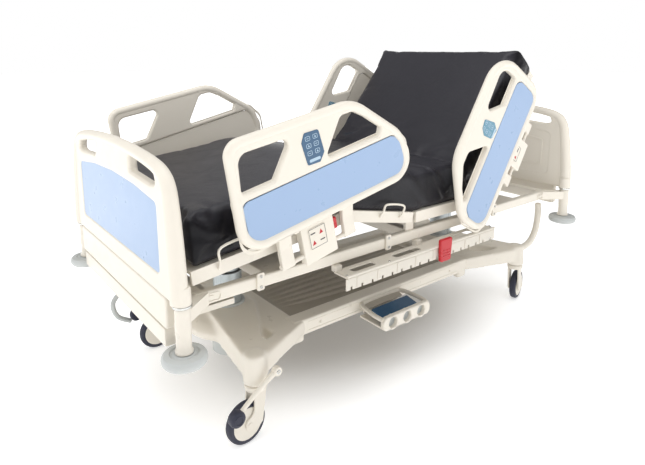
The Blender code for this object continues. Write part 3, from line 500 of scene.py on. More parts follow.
def make_finishes(colours):
    """All finishes by name."""
    FINISHES["ivory"] = finish_surface("ivory_plastic", colours.ivory, 0.38, tone=0.02, edge_highlight=0.15)
    FINISHES["paint"] = finish_surface("ivory_paint", colours.ivory, 0.34, tone=0.03, grain=350.0,
                                       strength=0.35)
    FINISHES["insert"] = finish_surface("blue_laminate", colours.insert, 0.30, tone=0.015, edge_highlight=0.0,
                                        depth=0.00005, spread=0.03)
    FINISHES["pale"] = finish_surface("printed_keys", (0.42, 0.56, 0.68), 0.35, tone=0.05, edge_highlight=0.0)
    FINISHES["rail"] = finish_surface("rail_paint", shade(colours.ivory, 0.86), 0.36, tone=0.04, grain=350.0)
    FINISHES["grey"] = finish_surface("grey_plastic", colours.grey, 0.45, tone=0.04)
    FINISHES["taupe"] = finish_surface("taupe_tray", colours.taupe, 0.55, tone=0.08, grain=600.0,
                                       depth=0.0002)
    FINISHES["column"] = finish_surface("anodised_column", colours.column, 0.32, tone=0.05,
                                        stretch=(1, 1, 0.03), strength=0.2, Metallic=0.55)
    FINISHES["rubber"] = finish_surface("rubber", colours.rubber, 0.55, tone=0.15, grain=700.0, depth=0.0003)
    FINISHES["red"] = finish_surface("red_plastic", colours.red, 0.32, tone=0.06, edge_highlight=0.1)
    FINISHES["steel"] = finish_surface("plated_steel", colours.steel, 0.24, tone=0.05, strength=0.15,
                                       Metallic=1.0)
    FINISHES["navy"] = finish_surface("navy_keypad", colours.navy, 0.22, tone=0.10, edge_highlight=0.05)
    FINISHES["teal"] = finish_surface("teal_keypad", (0.12, 0.28, 0.38), 0.26, tone=0.08, edge_highlight=0.05)
    FINISHES["dark"] = finish_surface("dark_fitting", (0.035, 0.035, 0.038), 0.45, tone=0.15)
    FINISHES["cover"] = cover_fabric("mattress_cover", colours.cover)
    FINISHES["floor"] = floor_surface("studio_floor", colours.floor)


def add_piece(name, meshes, body, finish, replaces=(), sharp=32.0, ride=True):
    """Joins meshes into one named piece with a finish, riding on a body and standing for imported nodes."""
    shape = bmesh.new()
    for mesh in meshes:
        shape.from_mesh(mesh)
        bpy.data.meshes.remove(mesh)
    result = bpy.data.meshes.new(name)
    shape.to_mesh(result)
    shape.free()
    result.shade_smooth()
    result.set_sharp_from_angle(angle=math.radians(sharp))
    made = bpy.data.objects.new(name, result)
    bpy.context.scene.collection.objects.link(made)
    result.materials.append(FINISHES[finish])
    made.modifiers.new("weighted", "WEIGHTED_NORMAL").keep_sharp = True
    if ride:
        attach(made, body)
    if replaces:
        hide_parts(*replaces)
    return made


# ---- Siderails ----

RAIL_OUTLINE = {
    "foot": [(-0.362, 0.206, 0.055), (0.135, 0.200, 0.160), (0.340, 0.020, 0.130), (0.370, -0.157, 0.085),
             (-0.383, -0.153, 0.088)],
    "head": [(-0.352, 0.205, 0.150), (0.170, 0.209, 0.150), (0.360, 0.029, 0.110), (0.363, -0.164, 0.090),
             (-0.366, -0.178, 0.085)],
}
RAIL_GRIPS = {
    "foot": [[(-0.338, 0.042, 0.012), (-0.324, 0.158, 0.035), (-0.134, 0.152, 0.018), (-0.224, 0.040, 0.015)],
             [(-0.020, 0.042, 0.012), (0.068, 0.160, 0.030), (0.122, 0.158, 0.040), (0.240, 0.078, 0.022),
              (0.222, 0.042, 0.012)]],
    "head": [[(-0.306, 0.036, 0.015), (-0.297, 0.150, 0.060), (-0.082, 0.142, 0.018), (-0.178, 0.036, 0.018)],
             [(0.018, 0.036, 0.012), (0.105, 0.146, 0.030), (0.160, 0.146, 0.035), (0.290, 0.066, 0.015),
              (0.275, 0.036, 0.012)]],
}
RAIL_INSERT = {
    "foot": [(-0.342, 0.010, 0.025), (0.285, 0.019, 0.035), (0.338, -0.050, 0.050), (0.334, -0.120, 0.050),
             (-0.342, -0.134, 0.050)],
    "head": [(-0.312, 0.012, 0.045), (0.300, 0.014, 0.035), (0.340, -0.050, 0.040), (0.336, -0.140, 0.055),
             (-0.314, -0.160, 0.060)],
}
KEYPAD = {
    "foot": [(-0.090, 0.150, 0.008), (-0.034, 0.147, 0.008), (-0.025, 0.069, 0.008), (-0.047, 0.042, 0.006),
             (-0.096, 0.045, 0.006), (-0.106, 0.122, 0.008)],
    "head": [(-0.055, 0.134, 0.008), (-0.016, 0.126, 0.008), (0.004, 0.100, 0.008), (-0.006, 0.048, 0.008),
             (-0.052, 0.032, 0.006), (-0.074, 0.066, 0.008)],
}
RAIL_INNER = 0.491
ARM_PIVOT_V = -0.275
ARM_PIVOT_W = 0.462
ARM_TOP_V = -0.150
ARM_TOP_W = 0.474
ARM_MIDDLE_U = -0.072
ARM_SPACING = 0.135


def rail_insert(end, grow):
    """The outline of a siderail's coloured insert, with its sides moved out by grow."""
    return [(u + math.copysign(grow, u), v + math.copysign(grow, v + 0.06), r)
            for u, v, r in RAIL_INSERT[end]]


def rail_place(corner):
    """A siderail's frame, u along it, v up and w outwards, found from its swing joint."""
    name = "rail_" + corner + "_swing"
    side = -1 if corner.endswith("left") else 1
    u = Vector(JOINTS[name]["axis"]) * -side
    v = Vector((-u.z, 0, u.x))
    origin = pivot(name) - v * ARM_PIVOT_V
    return axes((origin.x, 0, origin.z), u, v, (0, side, 0))


class SiderailSettings(bpy.types.PropertyGroup):
    """Sizes of the siderails."""

    edge: bpy.props.FloatProperty(name="Edge", description="Radius of the moulded frame's edges",
                                  unit="LENGTH", default=0.0125, min=0.002, max=0.016)
    lip: bpy.props.FloatProperty(name="Lip",
                                 description="Depth of the coloured insert under the frame's face",
                                 unit="LENGTH", default=0.0035, min=0.001, max=0.008)


def facing(corners, direction):
    return [(direction * u, v, r) for u, v, r in corners]


def screw_head(centre, outward, radius=0.006):
    """A domed cap screw with a hexagon socket."""
    outward = Vector(outward).normalized()
    socket = radius * 0.45
    profile = [(0, -0.001), (socket, -0.001), (socket, 0.0022), (radius * 0.8, 0.0030), (radius, 0.0018),
               (radius, -0.003), (0, -0.003)]
    return turned(profile, centre, outward, 12)


def make_siderail(corner, settings):
    """One siderail with its insert, keypads, swing arms and fittings."""
    end = corner.split("_")[0]
    direction = 1 if end == "foot" else -1
    where = rail_place(corner)
    low, high = (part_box("rail_panel_" + corner)[i].y for i in (0, 1))
    outer = max(abs(low), abs(high))
    inner = RAIL_INNER
    thick = outer - inner
    middle = where @ Matrix.Translation((0, 0, (inner + outer) / 2))
    body = "siderail_" + corner

    def outline(corners):
        return rounded(facing(corners, direction), 12)

    holes = [outline(grip) for grip in RAIL_GRIPS[end]]
    rim = outline(RAIL_OUTLINE[end])
    plate = moulding([inset(rim, 0.004), *holes, outline(rail_insert(end, -0.005))], thick - 0.006,
                     settings.edge * 0.75, middle, 5)
    border = tube([(u, v, 0.0) for u, v in inset(rim, thick / 2)], thick / 2, 1, True, 6, where=middle)
    web = moulding([outline(rail_insert(end, 0.004))], 0.010, 0.002,
                   where @ Matrix.Translation((0, 0, inner + 0.014)), 2)
    emboss = moulding([outline(rail_insert(end, -0.022)), outline(rail_insert(end, -0.030))], 0.003, 0.0012,
                      where @ Matrix.Translation((0, 0, inner + 0.0082)), 2)
    lugs = []
    arms = [direction * (ARM_MIDDLE_U - ARM_SPACING), direction * (ARM_MIDDLE_U + ARM_SPACING)]
    inwards = (direction, -direction)
    for u, inward in zip(arms, inwards):
        lug_u = u + inward * 0.036
        lugs.append(block((lug_u - 0.010, ARM_TOP_V - 0.016, ARM_TOP_W - 0.013),
                          (lug_u + 0.010, ARM_TOP_V + 0.022, inner + 0.010), 0.004, where))
        lugs.append(bar(where @ Vector((lug_u - 0.011, ARM_TOP_V, ARM_TOP_W)),
                        where @ Vector((lug_u + 0.011, ARM_TOP_V, ARM_TOP_W)), 0.013))
    add_piece("siderail_frame_" + corner, [plate, border, web, emboss, *lugs], body, "ivory",
              ["rail_panel_" + corner])
    face = moulding([outline(rail_insert(end, -0.0030))], 0.006, 0.0012,
                    where @ Matrix.Translation((0, 0, outer - 0.003 - settings.lip - 0.003)), 2)
    add_piece("siderail_insert_piece_" + corner, [face], body, "insert", ["rail_insert_" + corner])
    make_keypads(corner, where, direction, inner + 0.003, outer - 0.003, body)
    make_swing_arms(corner, where, arms, inwards)
    make_housing_details(corner, where)


def make_keypads(corner, where, direction, inner, outer, body):
    """Hexagonal control panels with outlined membrane keys, on the faces that carry them."""
    end = corner.split("_")[0]
    outline = facing(KEYPAD[end], direction)
    centre = Vector((sum(p[0] for p in outline), sum(p[1] for p in outline))) / len(outline)
    faces = [(outer, 1)] if end == "foot" else [(outer, 1), (inner, -1)]
    for count, (w, out) in enumerate(faces):
        name = f"keypad_{corner}_{count}"
        surround = moulding([inset(rounded(outline, 4), -0.003)], 0.0040, 0.0015,
                            where @ Matrix.Translation((0, 0, w - out * 0.0008)), 2)
        add_piece(name + "_rim", [surround], body, "ivory")
        surface = where @ Matrix.Translation((0, 0, w + out * 0.0004))
        panel = moulding([rounded(outline, 4)], 0.0040, 0.0012, surface, 2)
        add_piece(name, [panel], body, "navy" if end == "foot" else "teal")
        top = where @ Matrix.Translation((0, 0, w + out * 0.0025))
        keys = []
        for row in range(3):
            for column in range(2):
                u = centre.x + (column - 0.5) * 0.030
                v = centre.y + 0.034 - 0.024 * row
                shape = rounded(rectangle(u - 0.0095, v - 0.0075, u + 0.0095, v + 0.0075, 0.004), 3)
                keys.append(moulding([shape, inset(shape, 0.0016)], 0.0010, 0.0003, top, 1))
                if (row + column) % 2:
                    keys.append(moulding([rounded([(u - 0.004, v - 0.003, 0), (u + 0.004, v - 0.003, 0),
                                                   (u, v + 0.004, 0)])], 0.0010, 0.0002, top, 1))
                else:
                    dash = rounded(rectangle(u - 0.004, v - 0.001, u + 0.004, v + 0.001, 0.0004), 2)
                    keys.append(moulding([dash], 0.0010, 0.0002, top, 1))
        strip = rounded(rectangle(centre.x - 0.022, centre.y - 0.044, centre.x + 0.022, centre.y - 0.034,
                                  0.004), 3)
        keys.append(moulding([strip], 0.0010, 0.0003, top, 1))
        add_piece(name + "_keys", keys, body, "pale")


def make_swing_arms(corner, where, arms, inwards):
    """Cast dog-leg arms on their shaft."""
    low = Vector((0, ARM_PIVOT_V, ARM_PIVOT_W))
    high = Vector((0, ARM_TOP_V, ARM_TOP_W))
    middle_v = (low.y + high.y) / 2
    dog_leg = rounded([(low.z - 0.012, low.y - 0.012, 0.011), (low.z + 0.012, low.y - 0.012, 0.011),
                       (low.z + 0.013, middle_v, 0.03), (high.z + 0.011, high.y - 0.01, 0.004),
                       (high.z + 0.011, high.y + 0.011, 0.009), (high.z - 0.011, high.y + 0.011, 0.009),
                       (low.z - 0.006, middle_v, 0.03)], 5)
    first, second = arms
    meshes = [bar(where @ Vector((first, low.y, low.z)), where @ Vector((second, low.y, low.z)), 0.008)]
    for u, inward in zip(arms, inwards):
        side_view = axes((u, 0, 0), (0, 0, 1), (0, 1, 0), (-1, 0, 0))
        meshes.append(moulding([dog_leg], 0.050, 0.004, where @ side_view, 3))
        meshes.append(bar(where @ Vector((u, high.y, high.z)),
                          where @ Vector((u + inward * 0.046, high.y, high.z)), 0.006))
        for v, w in ((low.y, low.z), (high.y, high.z)):
            meshes.append(bar(where @ Vector((u - 0.027, v, w)), where @ Vector((u + 0.027, v, w)), 0.0105))
    add_piece("swing_arms_" + corner, meshes, "rail_arms_" + corner, "paint", ["rail_arms_" + corner])


class BED_OT_siderails(bpy.types.Operator):
    """Build the four folding siderails"""

    bl_idname = "bed.siderails"
    bl_label = "Siderails"

    def execute(self, context):
        for corner in CORNERS:
            make_siderail(corner, context.scene.bed_siderails)
        return {"FINISHED"}


# ---- End boards ----

def board_outline(post_top):
    """An end board's outline across the bed: y, z and corner radius."""
    foot_z = post_top + 0.006
    half = [(0.0, 1.036, 0.0), (0.330, 1.018, 0.14), (0.448, 0.982, 0.08), (0.472, 0.890, 0.12),
            (0.500, foot_z, 0.0)]
    return half + [(-y, z, r) for y, z, r in reversed(half)][:-1]


def board_slot(side):
    """The outline of one hand slot."""
    corners = [(0.172, 0.948, 0.010), (0.345, 0.938, 0.012), (0.385, 0.945, 0.010), (0.372, 0.975, 0.02),
               (0.300, 0.994, 0.03), (0.172, 1.000, 0.012)]
    return [(side * y, z, r) for y, z, r in corners]


def board_insert(grow):
    """The outline of a board's coloured insert, with its sides moved out by grow."""
    half = [(0.0, 0.921 + grow, 0.0), (0.200, 0.914 + grow, 0.08), (0.385 + grow, 0.893 + grow, 0.015),
            (0.385 + grow, 0.672 - grow, 0.015)]
    return half + [(-y, z, r) for y, z, r in reversed(half[1:])]


class BoardSettings(bpy.types.PropertyGroup):
    """Sizes of the end boards."""

    edge: bpy.props.FloatProperty(name="Edge", description="Radius of the moulded board's edges",
                                  unit="LENGTH", default=0.014, min=0.002, max=0.020)
    lip: bpy.props.FloatProperty(name="Lip",
                                 description="Depth of the coloured insert under the board's face",
                                 unit="LENGTH", default=0.0035, min=0.001, max=0.010)


def make_board(name, side, settings):
    """One end board: moulded frame with hand slots, insert, inner skin, post sleeves and seams."""
    low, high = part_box(name)
    outer = high.x if side > 0 else low.x
    thick = 0.045
    board_low = low.z
    post_top = 0.604
    face = axes((outer - side * thick / 2, 0, 0), (0, side, 0), (0, 0, 1), (side, 0, 0))
    outlines = [board_outline(post_top), board_slot(1), board_slot(-1), board_insert(-0.006)]
    shell = moulding([rounded(o, 12) for o in outlines], thick - 0.012, settings.edge * 0.8, face, 5)
    web = moulding([rounded(board_insert(0.004))], 0.014, 0.003,
                   face @ Matrix.Translation((0, 0, -thick / 2 + 0.016)), 2)
    emboss = moulding([rounded(board_insert(-0.040)), rounded(board_insert(-0.050))], 0.004, 0.0018,
                      face @ Matrix.Translation((0, 0, -thick / 2 + 0.0082)), 2)
    foot_z = post_top + 0.012
    half = [(0.479, foot_z), (0.476, 0.700), (0.466, 0.800), (0.455, 0.885), (0.441, 0.945), (0.405, 0.980),
            (0.325, 0.999), (0.165, 1.013), (0.0, 1.017)]
    path = [face @ Vector((y, z, 0)) for y, z in half] + [face @ Vector((-y, z, 0)) for y, z in half[-2::-1]]
    sizes = [1.0, 1.0, 0.97, 0.92, 0.86, 0.80, 0.76, 0.74, 0.74]
    arch = tube(path, 0.0262, 6, sides=7, radii=sizes + sizes[-2::-1])
    skirt = moulding([rounded(rectangle(-0.424, board_low, 0.424, post_top + 0.012, 0.014))], 0.030, 0.007,
                     face @ Matrix.Translation((0, 0, 0.004)), 4)
    collars = []
    for y in (-POST_Y, POST_Y):
        foot = Vector((side * POST_X, y, post_top + 0.001))
        profile = [(0, 0.060), (0.0235, 0.060), (0.0262, 0.052), (0.0268, 0.012), (0.0268, 0.0), (0, 0)]
        collars.append(turned(profile, foot, UP, 40))
        ring = turned([(0, 0.0075), (0.0275, 0.0075), (0.0285, 0.0062), (0.0285, 0.0013), (0.0275, 0.0),
                       (0, 0)], foot, UP, 40)
        add_piece(f"{name}_ring_{'left' if y < 0 else 'right'}", [ring], name, "steel")
    add_piece(name + "_frame", [shell, web, emboss, arch, skirt, *collars], name, "ivory", [name])
    insert = moulding([rounded(board_insert(-0.0015))], 0.008, 0.0008,
                      face @ Matrix.Translation((0, 0, thick / 2 - 0.006 - settings.lip - 0.004)), 2)
    add_piece(name + "_insert_piece", [insert], name, "insert", [name + "_insert"])


class BED_OT_boards(bpy.types.Operator):
    """Build the footboard and headboard"""

    bl_idname = "bed.boards"
    bl_label = "End boards"

    def execute(self, context):
        make_board("footboard", -1, context.scene.bed_boards)
        make_board("headboard", 1, context.scene.bed_boards)
        return {"FINISHED"}


# ---- Mattress ----

class MattressSettings(bpy.types.PropertyGroup):
    """Shape of the mattress and of its cover."""

    corner: bpy.props.FloatProperty(name="Corner", description="Radius of the mattress's long edges",
                                    unit="LENGTH", default=0.022, min=0.005, max=0.06)
    inset: bpy.props.FloatProperty(name="Inset",
                                   description="How much smaller the core is than the filled cover",
                                   unit="LENGTH", default=0.003, min=0.0, max=0.03)
    voxel: bpy.props.FloatProperty(name="Voxel", description="Cell size of the simulated cover",
                                   unit="LENGTH", default=0.009, min=0.004, max=0.03)
    slack: bpy.props.FloatProperty(name="Slack", description="Extra length of the cover that forms creases",
                                   default=0.03, min=0.0, max=0.2)
    swell: bpy.props.FloatProperty(name="Swell", description="Furthest that the cover may move",
                                   unit="LENGTH", default=0.014, min=0.0, max=0.03)


def section_axes(origin, angle, towards):
    """A deck section's hinge, the direction along it and its normal."""
    along = Vector((towards * math.cos(angle), 0, math.sin(angle)))
    normal = Vector((-towards * math.sin(angle), 0, math.cos(angle)))
    return origin, along, normal


SECTIONS = {
    "back": section_axes(BACK_PIVOT, BACK_ANGLE, 1),
    "seat": section_axes(BACK_PIVOT, 0.0, 1),
    "thigh": section_axes(THIGH_PIVOT, THIGH_ANGLE, -1),
    "calf": section_axes(KNEE, -CALF_ANGLE, -1),
}


def on_deck(section, distance, height):
    """A point over a deck section: distance from its hinge, height over its top surface."""
    origin, along, normal = SECTIONS[section]
    return origin + along * distance + normal * (AXIS_DROP + height)


def ease(value, start, end):
    """0 before start, 1 after end, and a smooth step between them."""
    t = min(1.0, max(0.0, (value - start) / (end - start)))
    return t * t * (3 - 2 * t)


def bent(flat):
    """Moves a point of the flat mattress, x from the back's hinge towards the head, onto the bent deck."""
    s, y, h = flat
    on_back = on_deck("back", s, h)
    on_seat = on_deck("seat", s, h)
    on_thigh = on_deck("thigh", -SEAT_LENGTH - s, h)
    on_calf = on_deck("calf", -SEAT_LENGTH - THIGH_LENGTH - s, h)
    hip = ease(s, -0.105, 0.105)
    fold = ease(s, -SEAT_LENGTH + 0.08, -SEAT_LENGTH - 0.08)
    knee = ease(s, -SEAT_LENGTH - THIGH_LENGTH + 0.10, -SEAT_LENGTH - THIGH_LENGTH - 0.10)
    place = on_seat.lerp(on_back, hip)
    place = place.lerp(on_thigh, fold)
    place = place.lerp(on_calf, knee)
    place.y = y
    return place


def mattress_core(settings):
    """The flat core, cut into short lengths, bent over the deck."""
    gap = 0.0006
    calf_end = -SEAT_LENGTH - THIGH_LENGTH - 0.600
    head_end = 0.719
    inset = settings.inset
    shape = bmesh.new()
    bmesh.ops.create_cube(shape, size=1.0)
    low = Vector((calf_end + inset, -MATTRESS_Y + inset, gap))
    high = Vector((head_end - inset, MATTRESS_Y - inset, MATTRESS_THICK - inset * 0.6))
    bmesh.ops.scale(shape, vec=high - low, verts=shape.verts)
    bmesh.ops.translate(shape, vec=(low + high) / 2, verts=shape.verts)
    bmesh.ops.bevel(shape, geom=shape.edges[:], offset=settings.corner, segments=5, profile=0.5,
                    affect="EDGES")
    count = 90
    for i in range(1, count):
        x = low.x + (high.x - low.x) * i / count
        everything = shape.verts[:] + shape.edges[:] + shape.faces[:]
        bmesh.ops.bisect_plane(shape, geom=everything, plane_co=(x, 0, 0), plane_no=(1, 0, 0))
    for vert in shape.verts:
        vert.co = bent(vert.co)
    return taken(shape)


def sewn_cover(mesh, settings):
    """Remeshes the core evenly, fills the cover by simulation, and limits how far it may move."""
    made = bpy.data.objects.new("cover", mesh)
    bpy.context.scene.collection.objects.link(made)
    remesh = made.modifiers.new("remesh", "REMESH")
    remesh.mode = "VOXEL"
    remesh.voxel_size = settings.voxel
    view = bpy.context.evaluated_depsgraph_get()
    even = bpy.data.meshes.new_from_object(made.evaluated_get(view))
    made.modifiers.clear()
    made.data = even
    start = [v.co.copy() for v in even.vertices]
    cloth = made.modifiers.new("cloth", "CLOTH")
    cloth.settings.use_pressure = True
    cloth.settings.uniform_pressure_force = 4.0
    cloth.settings.shrink_min = -settings.slack
    cloth.settings.quality = 4
    cloth.settings.effector_weights.gravity = 0.0
    cloth.settings.tension_stiffness = 12.0
    cloth.settings.bending_stiffness = 0.8
    cloth.point_cache.frame_end = 20
    for number in range(1, 21):
        bpy.context.scene.frame_set(number)
    view = bpy.context.evaluated_depsgraph_get()
    blown = made.evaluated_get(view).data
    for vert, rest, moved in zip(even.vertices, start, blown.vertices):
        step = moved.co - rest
        if step.length > settings.swell:
            step *= settings.swell / step.length
        vert.co = rest + step
    made.modifiers.clear()
    bpy.context.scene.frame_set(1)
    bpy.data.objects.remove(made)
    return even


def creased(place):
    """Height of the cover's folds at a place: at the hip, along the seat's sides and at the foot corners."""
    hip = Vector((0.247, 0, 0.815))
    away = math.hypot(place.x - hip.x, place.z - hip.z)
    near = math.exp(-(away / 0.11) ** 2)
    wave = noise.noise(Vector((place.x * 9 + place.z * 5, place.y * 3.2 + place.x * 4, 0.3)))
    folds = math.sin(place.y * 26 + wave * 6 + (place.x + place.z) * 16)
    broad = noise.noise(place * 3.1) * 0.0028
    seat = math.exp(-((place.x - 0.08) / 0.24) ** 2) * ease(abs(place.y), 0.10, MATTRESS_Y)
    drag = math.sin(place.x * 34 + place.z * 46 + wave * 9 + place.y * 5)
    foot = ease(-place.x, 0.62, 0.90) * ease(abs(place.y), 0.30, MATTRESS_Y)
    tuck = math.sin(place.z * 74 - place.x * 30 + wave * 7)
    return (broad + near * (0.0065 * folds * (0.6 + 0.6 * wave)) + seat * 0.0042 * drag * (0.7 + wave)
            + foot * 0.0040 * tuck * (0.7 + wave))


def part_between(mesh, cuts):
    """The piece of a mesh on the inner side of each (point, outward normal) cut, closed at the cuts."""
    shape = bmesh.new()
    shape.from_mesh(mesh)
    for point, normal in cuts:
        geometry = shape.verts[:] + shape.edges[:] + shape.faces[:]
        found = bmesh.ops.bisect_plane(shape, geom=geometry, plane_co=point, plane_no=normal,
                                       clear_outer=True)
        rim = [e for e in found["geom_cut"] if isinstance(e, bmesh.types.BMEdge)]
        bmesh.ops.contextual_create(shape, geom=rim)
    return taken(shape)


class BED_OT_mattress(bpy.types.Operator):
    """Build the mattress and its creased cover"""

    bl_idname = "bed.mattress"
    bl_label = "Mattress"

    def execute(self, context):
        settings = context.scene.bed_mattress
        whole = subdivided(sewn_cover(mattress_core(settings), settings), 1)
        whole.update()
        normals = [v.normal.copy() for v in whole.vertices]
        for vert, normal in zip(whole.vertices, normals):
            if normal.z > -0.2:
                vert.co += normal * creased(vert.co)
        seat_cut = on_deck("seat", -SEAT_LENGTH * 0.56, 0)
        thigh_cut = on_deck("thigh", THIGH_LENGTH * 0.5, 0)
        _, thigh_along, _ = SECTIONS["thigh"]
        seat_along = Vector((1, 0, 0))
        pieces = (
            ("mattress_head", [(seat_cut, -seat_along)], "deck_frame", "back_section",
             (0.226, 0, 0.78), (0.300, 0, 0.816), ["mattress_back", "mattress_seat"]),
            ("mattress_middle", [(seat_cut, seat_along), (thigh_cut, thigh_along)], "deck_frame",
             "thigh_section", (0.035, 0, 0.75), (-0.115, 0, 0.75), ["mattress_thigh"]),
            ("mattress_foot", [(thigh_cut, -thigh_along)], "thigh_section", "calf_section",
             KNEE + Vector((0.10, 0, 0.08)), KNEE + Vector((-0.10, 0, 0.08)), ["mattress_calf"]),
        )
        for name, cuts, body, other, start, end, nodes in pieces:
            made = add_piece(name, [part_between(whole, cuts)], body, "cover", nodes, sharp=60, ride=False)
            made.modifiers.clear()
            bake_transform(made)
        bpy.data.meshes.remove(whole)
        return {"FINISHED"}


# ---- Base ----

class BaseSettings(bpy.types.PropertyGroup):
    """Details of the base."""

    soften: bpy.props.FloatProperty(name="Soften", description="Edge radius of the cast and folded parts",
                                    unit="LENGTH", default=0.008, min=0.001, max=0.015)


def ring_profile(inner, outer, low, high, rim=0.002):
    return [(inner, high), (outer - rim, high), (outer - rim * 0.3, high - rim * 0.3), (outer, high - rim),
            (outer, low + rim), (outer - rim, low), (inner, low)]


def make_columns():
    """Smooth column stages, with collars and wiper rings."""
    for end, x in (("foot", -COLUMN_X), ("head", COLUMN_X)):
        centre = (x, 0, 0)
        sleeve_low, sleeve_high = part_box("column_sleeve_" + end)
        radius = (sleeve_high.x - sleeve_low.x) / 2
        stage_low, stage_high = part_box("column_stage_" + end)
        stage = (stage_high.x - stage_low.x) / 2
        bore = stage + 0.001
        sleeve = [(bore, sleeve_high.z), (radius - 0.006, sleeve_high.z),
                  (radius - 0.002, sleeve_high.z - 0.002),
                  (radius, sleeve_high.z - 0.008), (radius, sleeve_low.z + 0.004),
                  (radius - 0.004, sleeve_low.z), (bore, sleeve_low.z)]
        floor_disc = bar((x, 0, sleeve_low.z + 0.001), (x, 0, sleeve_low.z + 0.009), bore + 0.002)
        add_piece("column_collar_" + end, [turned(sleeve, centre, steps=64), floor_disc], "base", "grey",
                  ["column_sleeve_" + end])
        ram_low, ram_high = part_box("column_ram_" + end)
        ram = stage - 0.010
        tube_mesh = turned(ring_profile(ram + 0.001, stage, stage_low.z, stage_high.z), centre, steps=64)
        wiper = turned(ring_profile(ram + 0.0008, stage - 0.0004, stage_high.z - 0.002,
                                    stage_high.z + 0.004), centre,
                       steps=64)
        add_piece("column_tube_" + end, [tube_mesh], "column_stage_" + end, "column", ["column_stage_" + end])
        add_piece("column_wiper_" + end, [wiper], "column_stage_" + end, "dark")
        flange = ram + 0.030
        top = ram_high.z
        profile = [(0, top), (flange - 0.003, top), (flange, top - 0.003), (flange, top - 0.009),
                   (flange - 0.003, top - 0.012), (ram + 0.004, top - 0.013), (ram, top - 0.018),
                   (ram, ram_low.z), (0, ram_low.z)]
        add_piece("column_ram_piece_" + end, [turned(profile, centre, steps=64)], "deck_frame", "column",
                  ["column_ram_" + end])


def make_castors():
    """Smooth tyres with tread grooves, domed hub covers with a cap, and refined forks."""
    for corner in CORNERS:
        joint = JOINTS["wheel_" + corner + "_roll"]
        axle, across = Vector(joint["pos_m"]), Vector(joint["axis"])
        tyre = [(0.0575, 0.016), (0.066, 0.016), (0.0705, 0.0145), (0.0735, 0.011), (0.0748, 0.006),
                (0.075, 0.0018),
                (0.0742, 0.0010), (0.0742, -0.0010), (0.075, -0.0018), (0.0748, -0.006), (0.0735, -0.011),
                (0.0705, -0.0145), (0.066, -0.016), (0.0575, -0.016)]
        add_piece("tyre_piece_" + corner, [turned(tyre, axle, across, 72)], "wheel_" + corner, "rubber",
                  ["tyre_" + corner])
        hub = [(0.0, 0.0212), (0.012, 0.0210), (0.030, 0.0202), (0.046, 0.0188), (0.050, 0.0178),
               (0.0515, 0.0182), (0.0560, 0.0172), (0.0585, 0.0150), (0.0590, 0.010)]
        profile = hub + [(r, -h) for r, h in reversed(hub)]
        add_piece("hub_cover_" + corner, [turned(profile, axle, across, 64)], "wheel_" + corner, "ivory",
                  ["wheel_hub_" + corner])
        caps = [bar(axle + across * side * 0.026, axle + across * side * 0.0315, 0.010) for side in (-1, 1)]
        fork = refined("castor_fork_" + corner, 0.0022, 3)
        swivel = pivot("castor_" + corner + "_swivel")
        crown = turned([(0, 0.2047), (0.034, 0.2047), (0.038, 0.201), (0.039, 0.192), (0.036, 0.184),
                        (0, 0.182)],
                       (swivel.x, swivel.y, 0), steps=48)
        add_piece("fork_" + corner, [fork, crown, *caps], "castor_" + corner, "paint",
                  ["castor_fork_" + corner])


BOSSES = {name: pivot("castor_" + name + "_swivel") for name in CORNERS}


def bored(mesh, start, end, radius):
    """The mesh with a round hole cut through it."""
    whole = bpy.data.objects.new("whole", mesh)
    drill = bpy.data.objects.new("drill", bar(start, end, radius, sides=48))
    for made in (whole, drill):
        bpy.context.scene.collection.objects.link(made)
    cut = whole.modifiers.new("cut", "BOOLEAN")
    cut.operation = "DIFFERENCE"
    cut.object = drill
    view = bpy.context.evaluated_depsgraph_get()
    result = bpy.data.meshes.new_from_object(whole.evaluated_get(view))
    for made in (whole, drill):
        used = made.data
        bpy.data.objects.remove(made)
        bpy.data.meshes.remove(used)
    return result


SLEEVE_WELL = 0.0655             # radius of the well in each casting that a column sinks into


def end_casting(end):
    """The casting round one column: a dome, two arms out to the castor bosses and the web between."""
    side = 1 if end == "head" else -1
    x = side * COLUMN_X
    web = side * (0.448 if side > 0 else 0.508)
    meshes = [turned([(0, 0.321), (0.080, 0.321), (0.088, 0.316), (0.112, 0.298), (0.150, 0.284),
                      (0.175, 0.262), (0.168, 0.232), (0.130, 0.226), (0, 0.226)], (x, 0, 0), steps=48),
              block((min(web, side * 0.64), -0.285, 0.243), (max(web, side * 0.64), 0.285, 0.300), 0.01)]
    for name, boss in BOSSES.items():
        if not name.startswith(end):
            continue
        hand = math.copysign(1, boss.y)
        meshes.append(between((x, hand * 0.02, 0.272), (boss.x, boss.y, 0.262), (0.200, 0.094),
                              (0.074, 0.080)))
        meshes.append(between((side * 0.50, hand * 0.268, 0.272), (boss.x, boss.y, 0.262), (0.062, 0.062),
                              (0.060, 0.074)))
        meshes.append(bar((boss.x, boss.y, 0.2035), (boss.x, boss.y, 0.312), 0.043, 0.036))
    return bored(cast(meshes), (x, 0, 0.20), (x, 0, 0.34), SLEEVE_WELL)


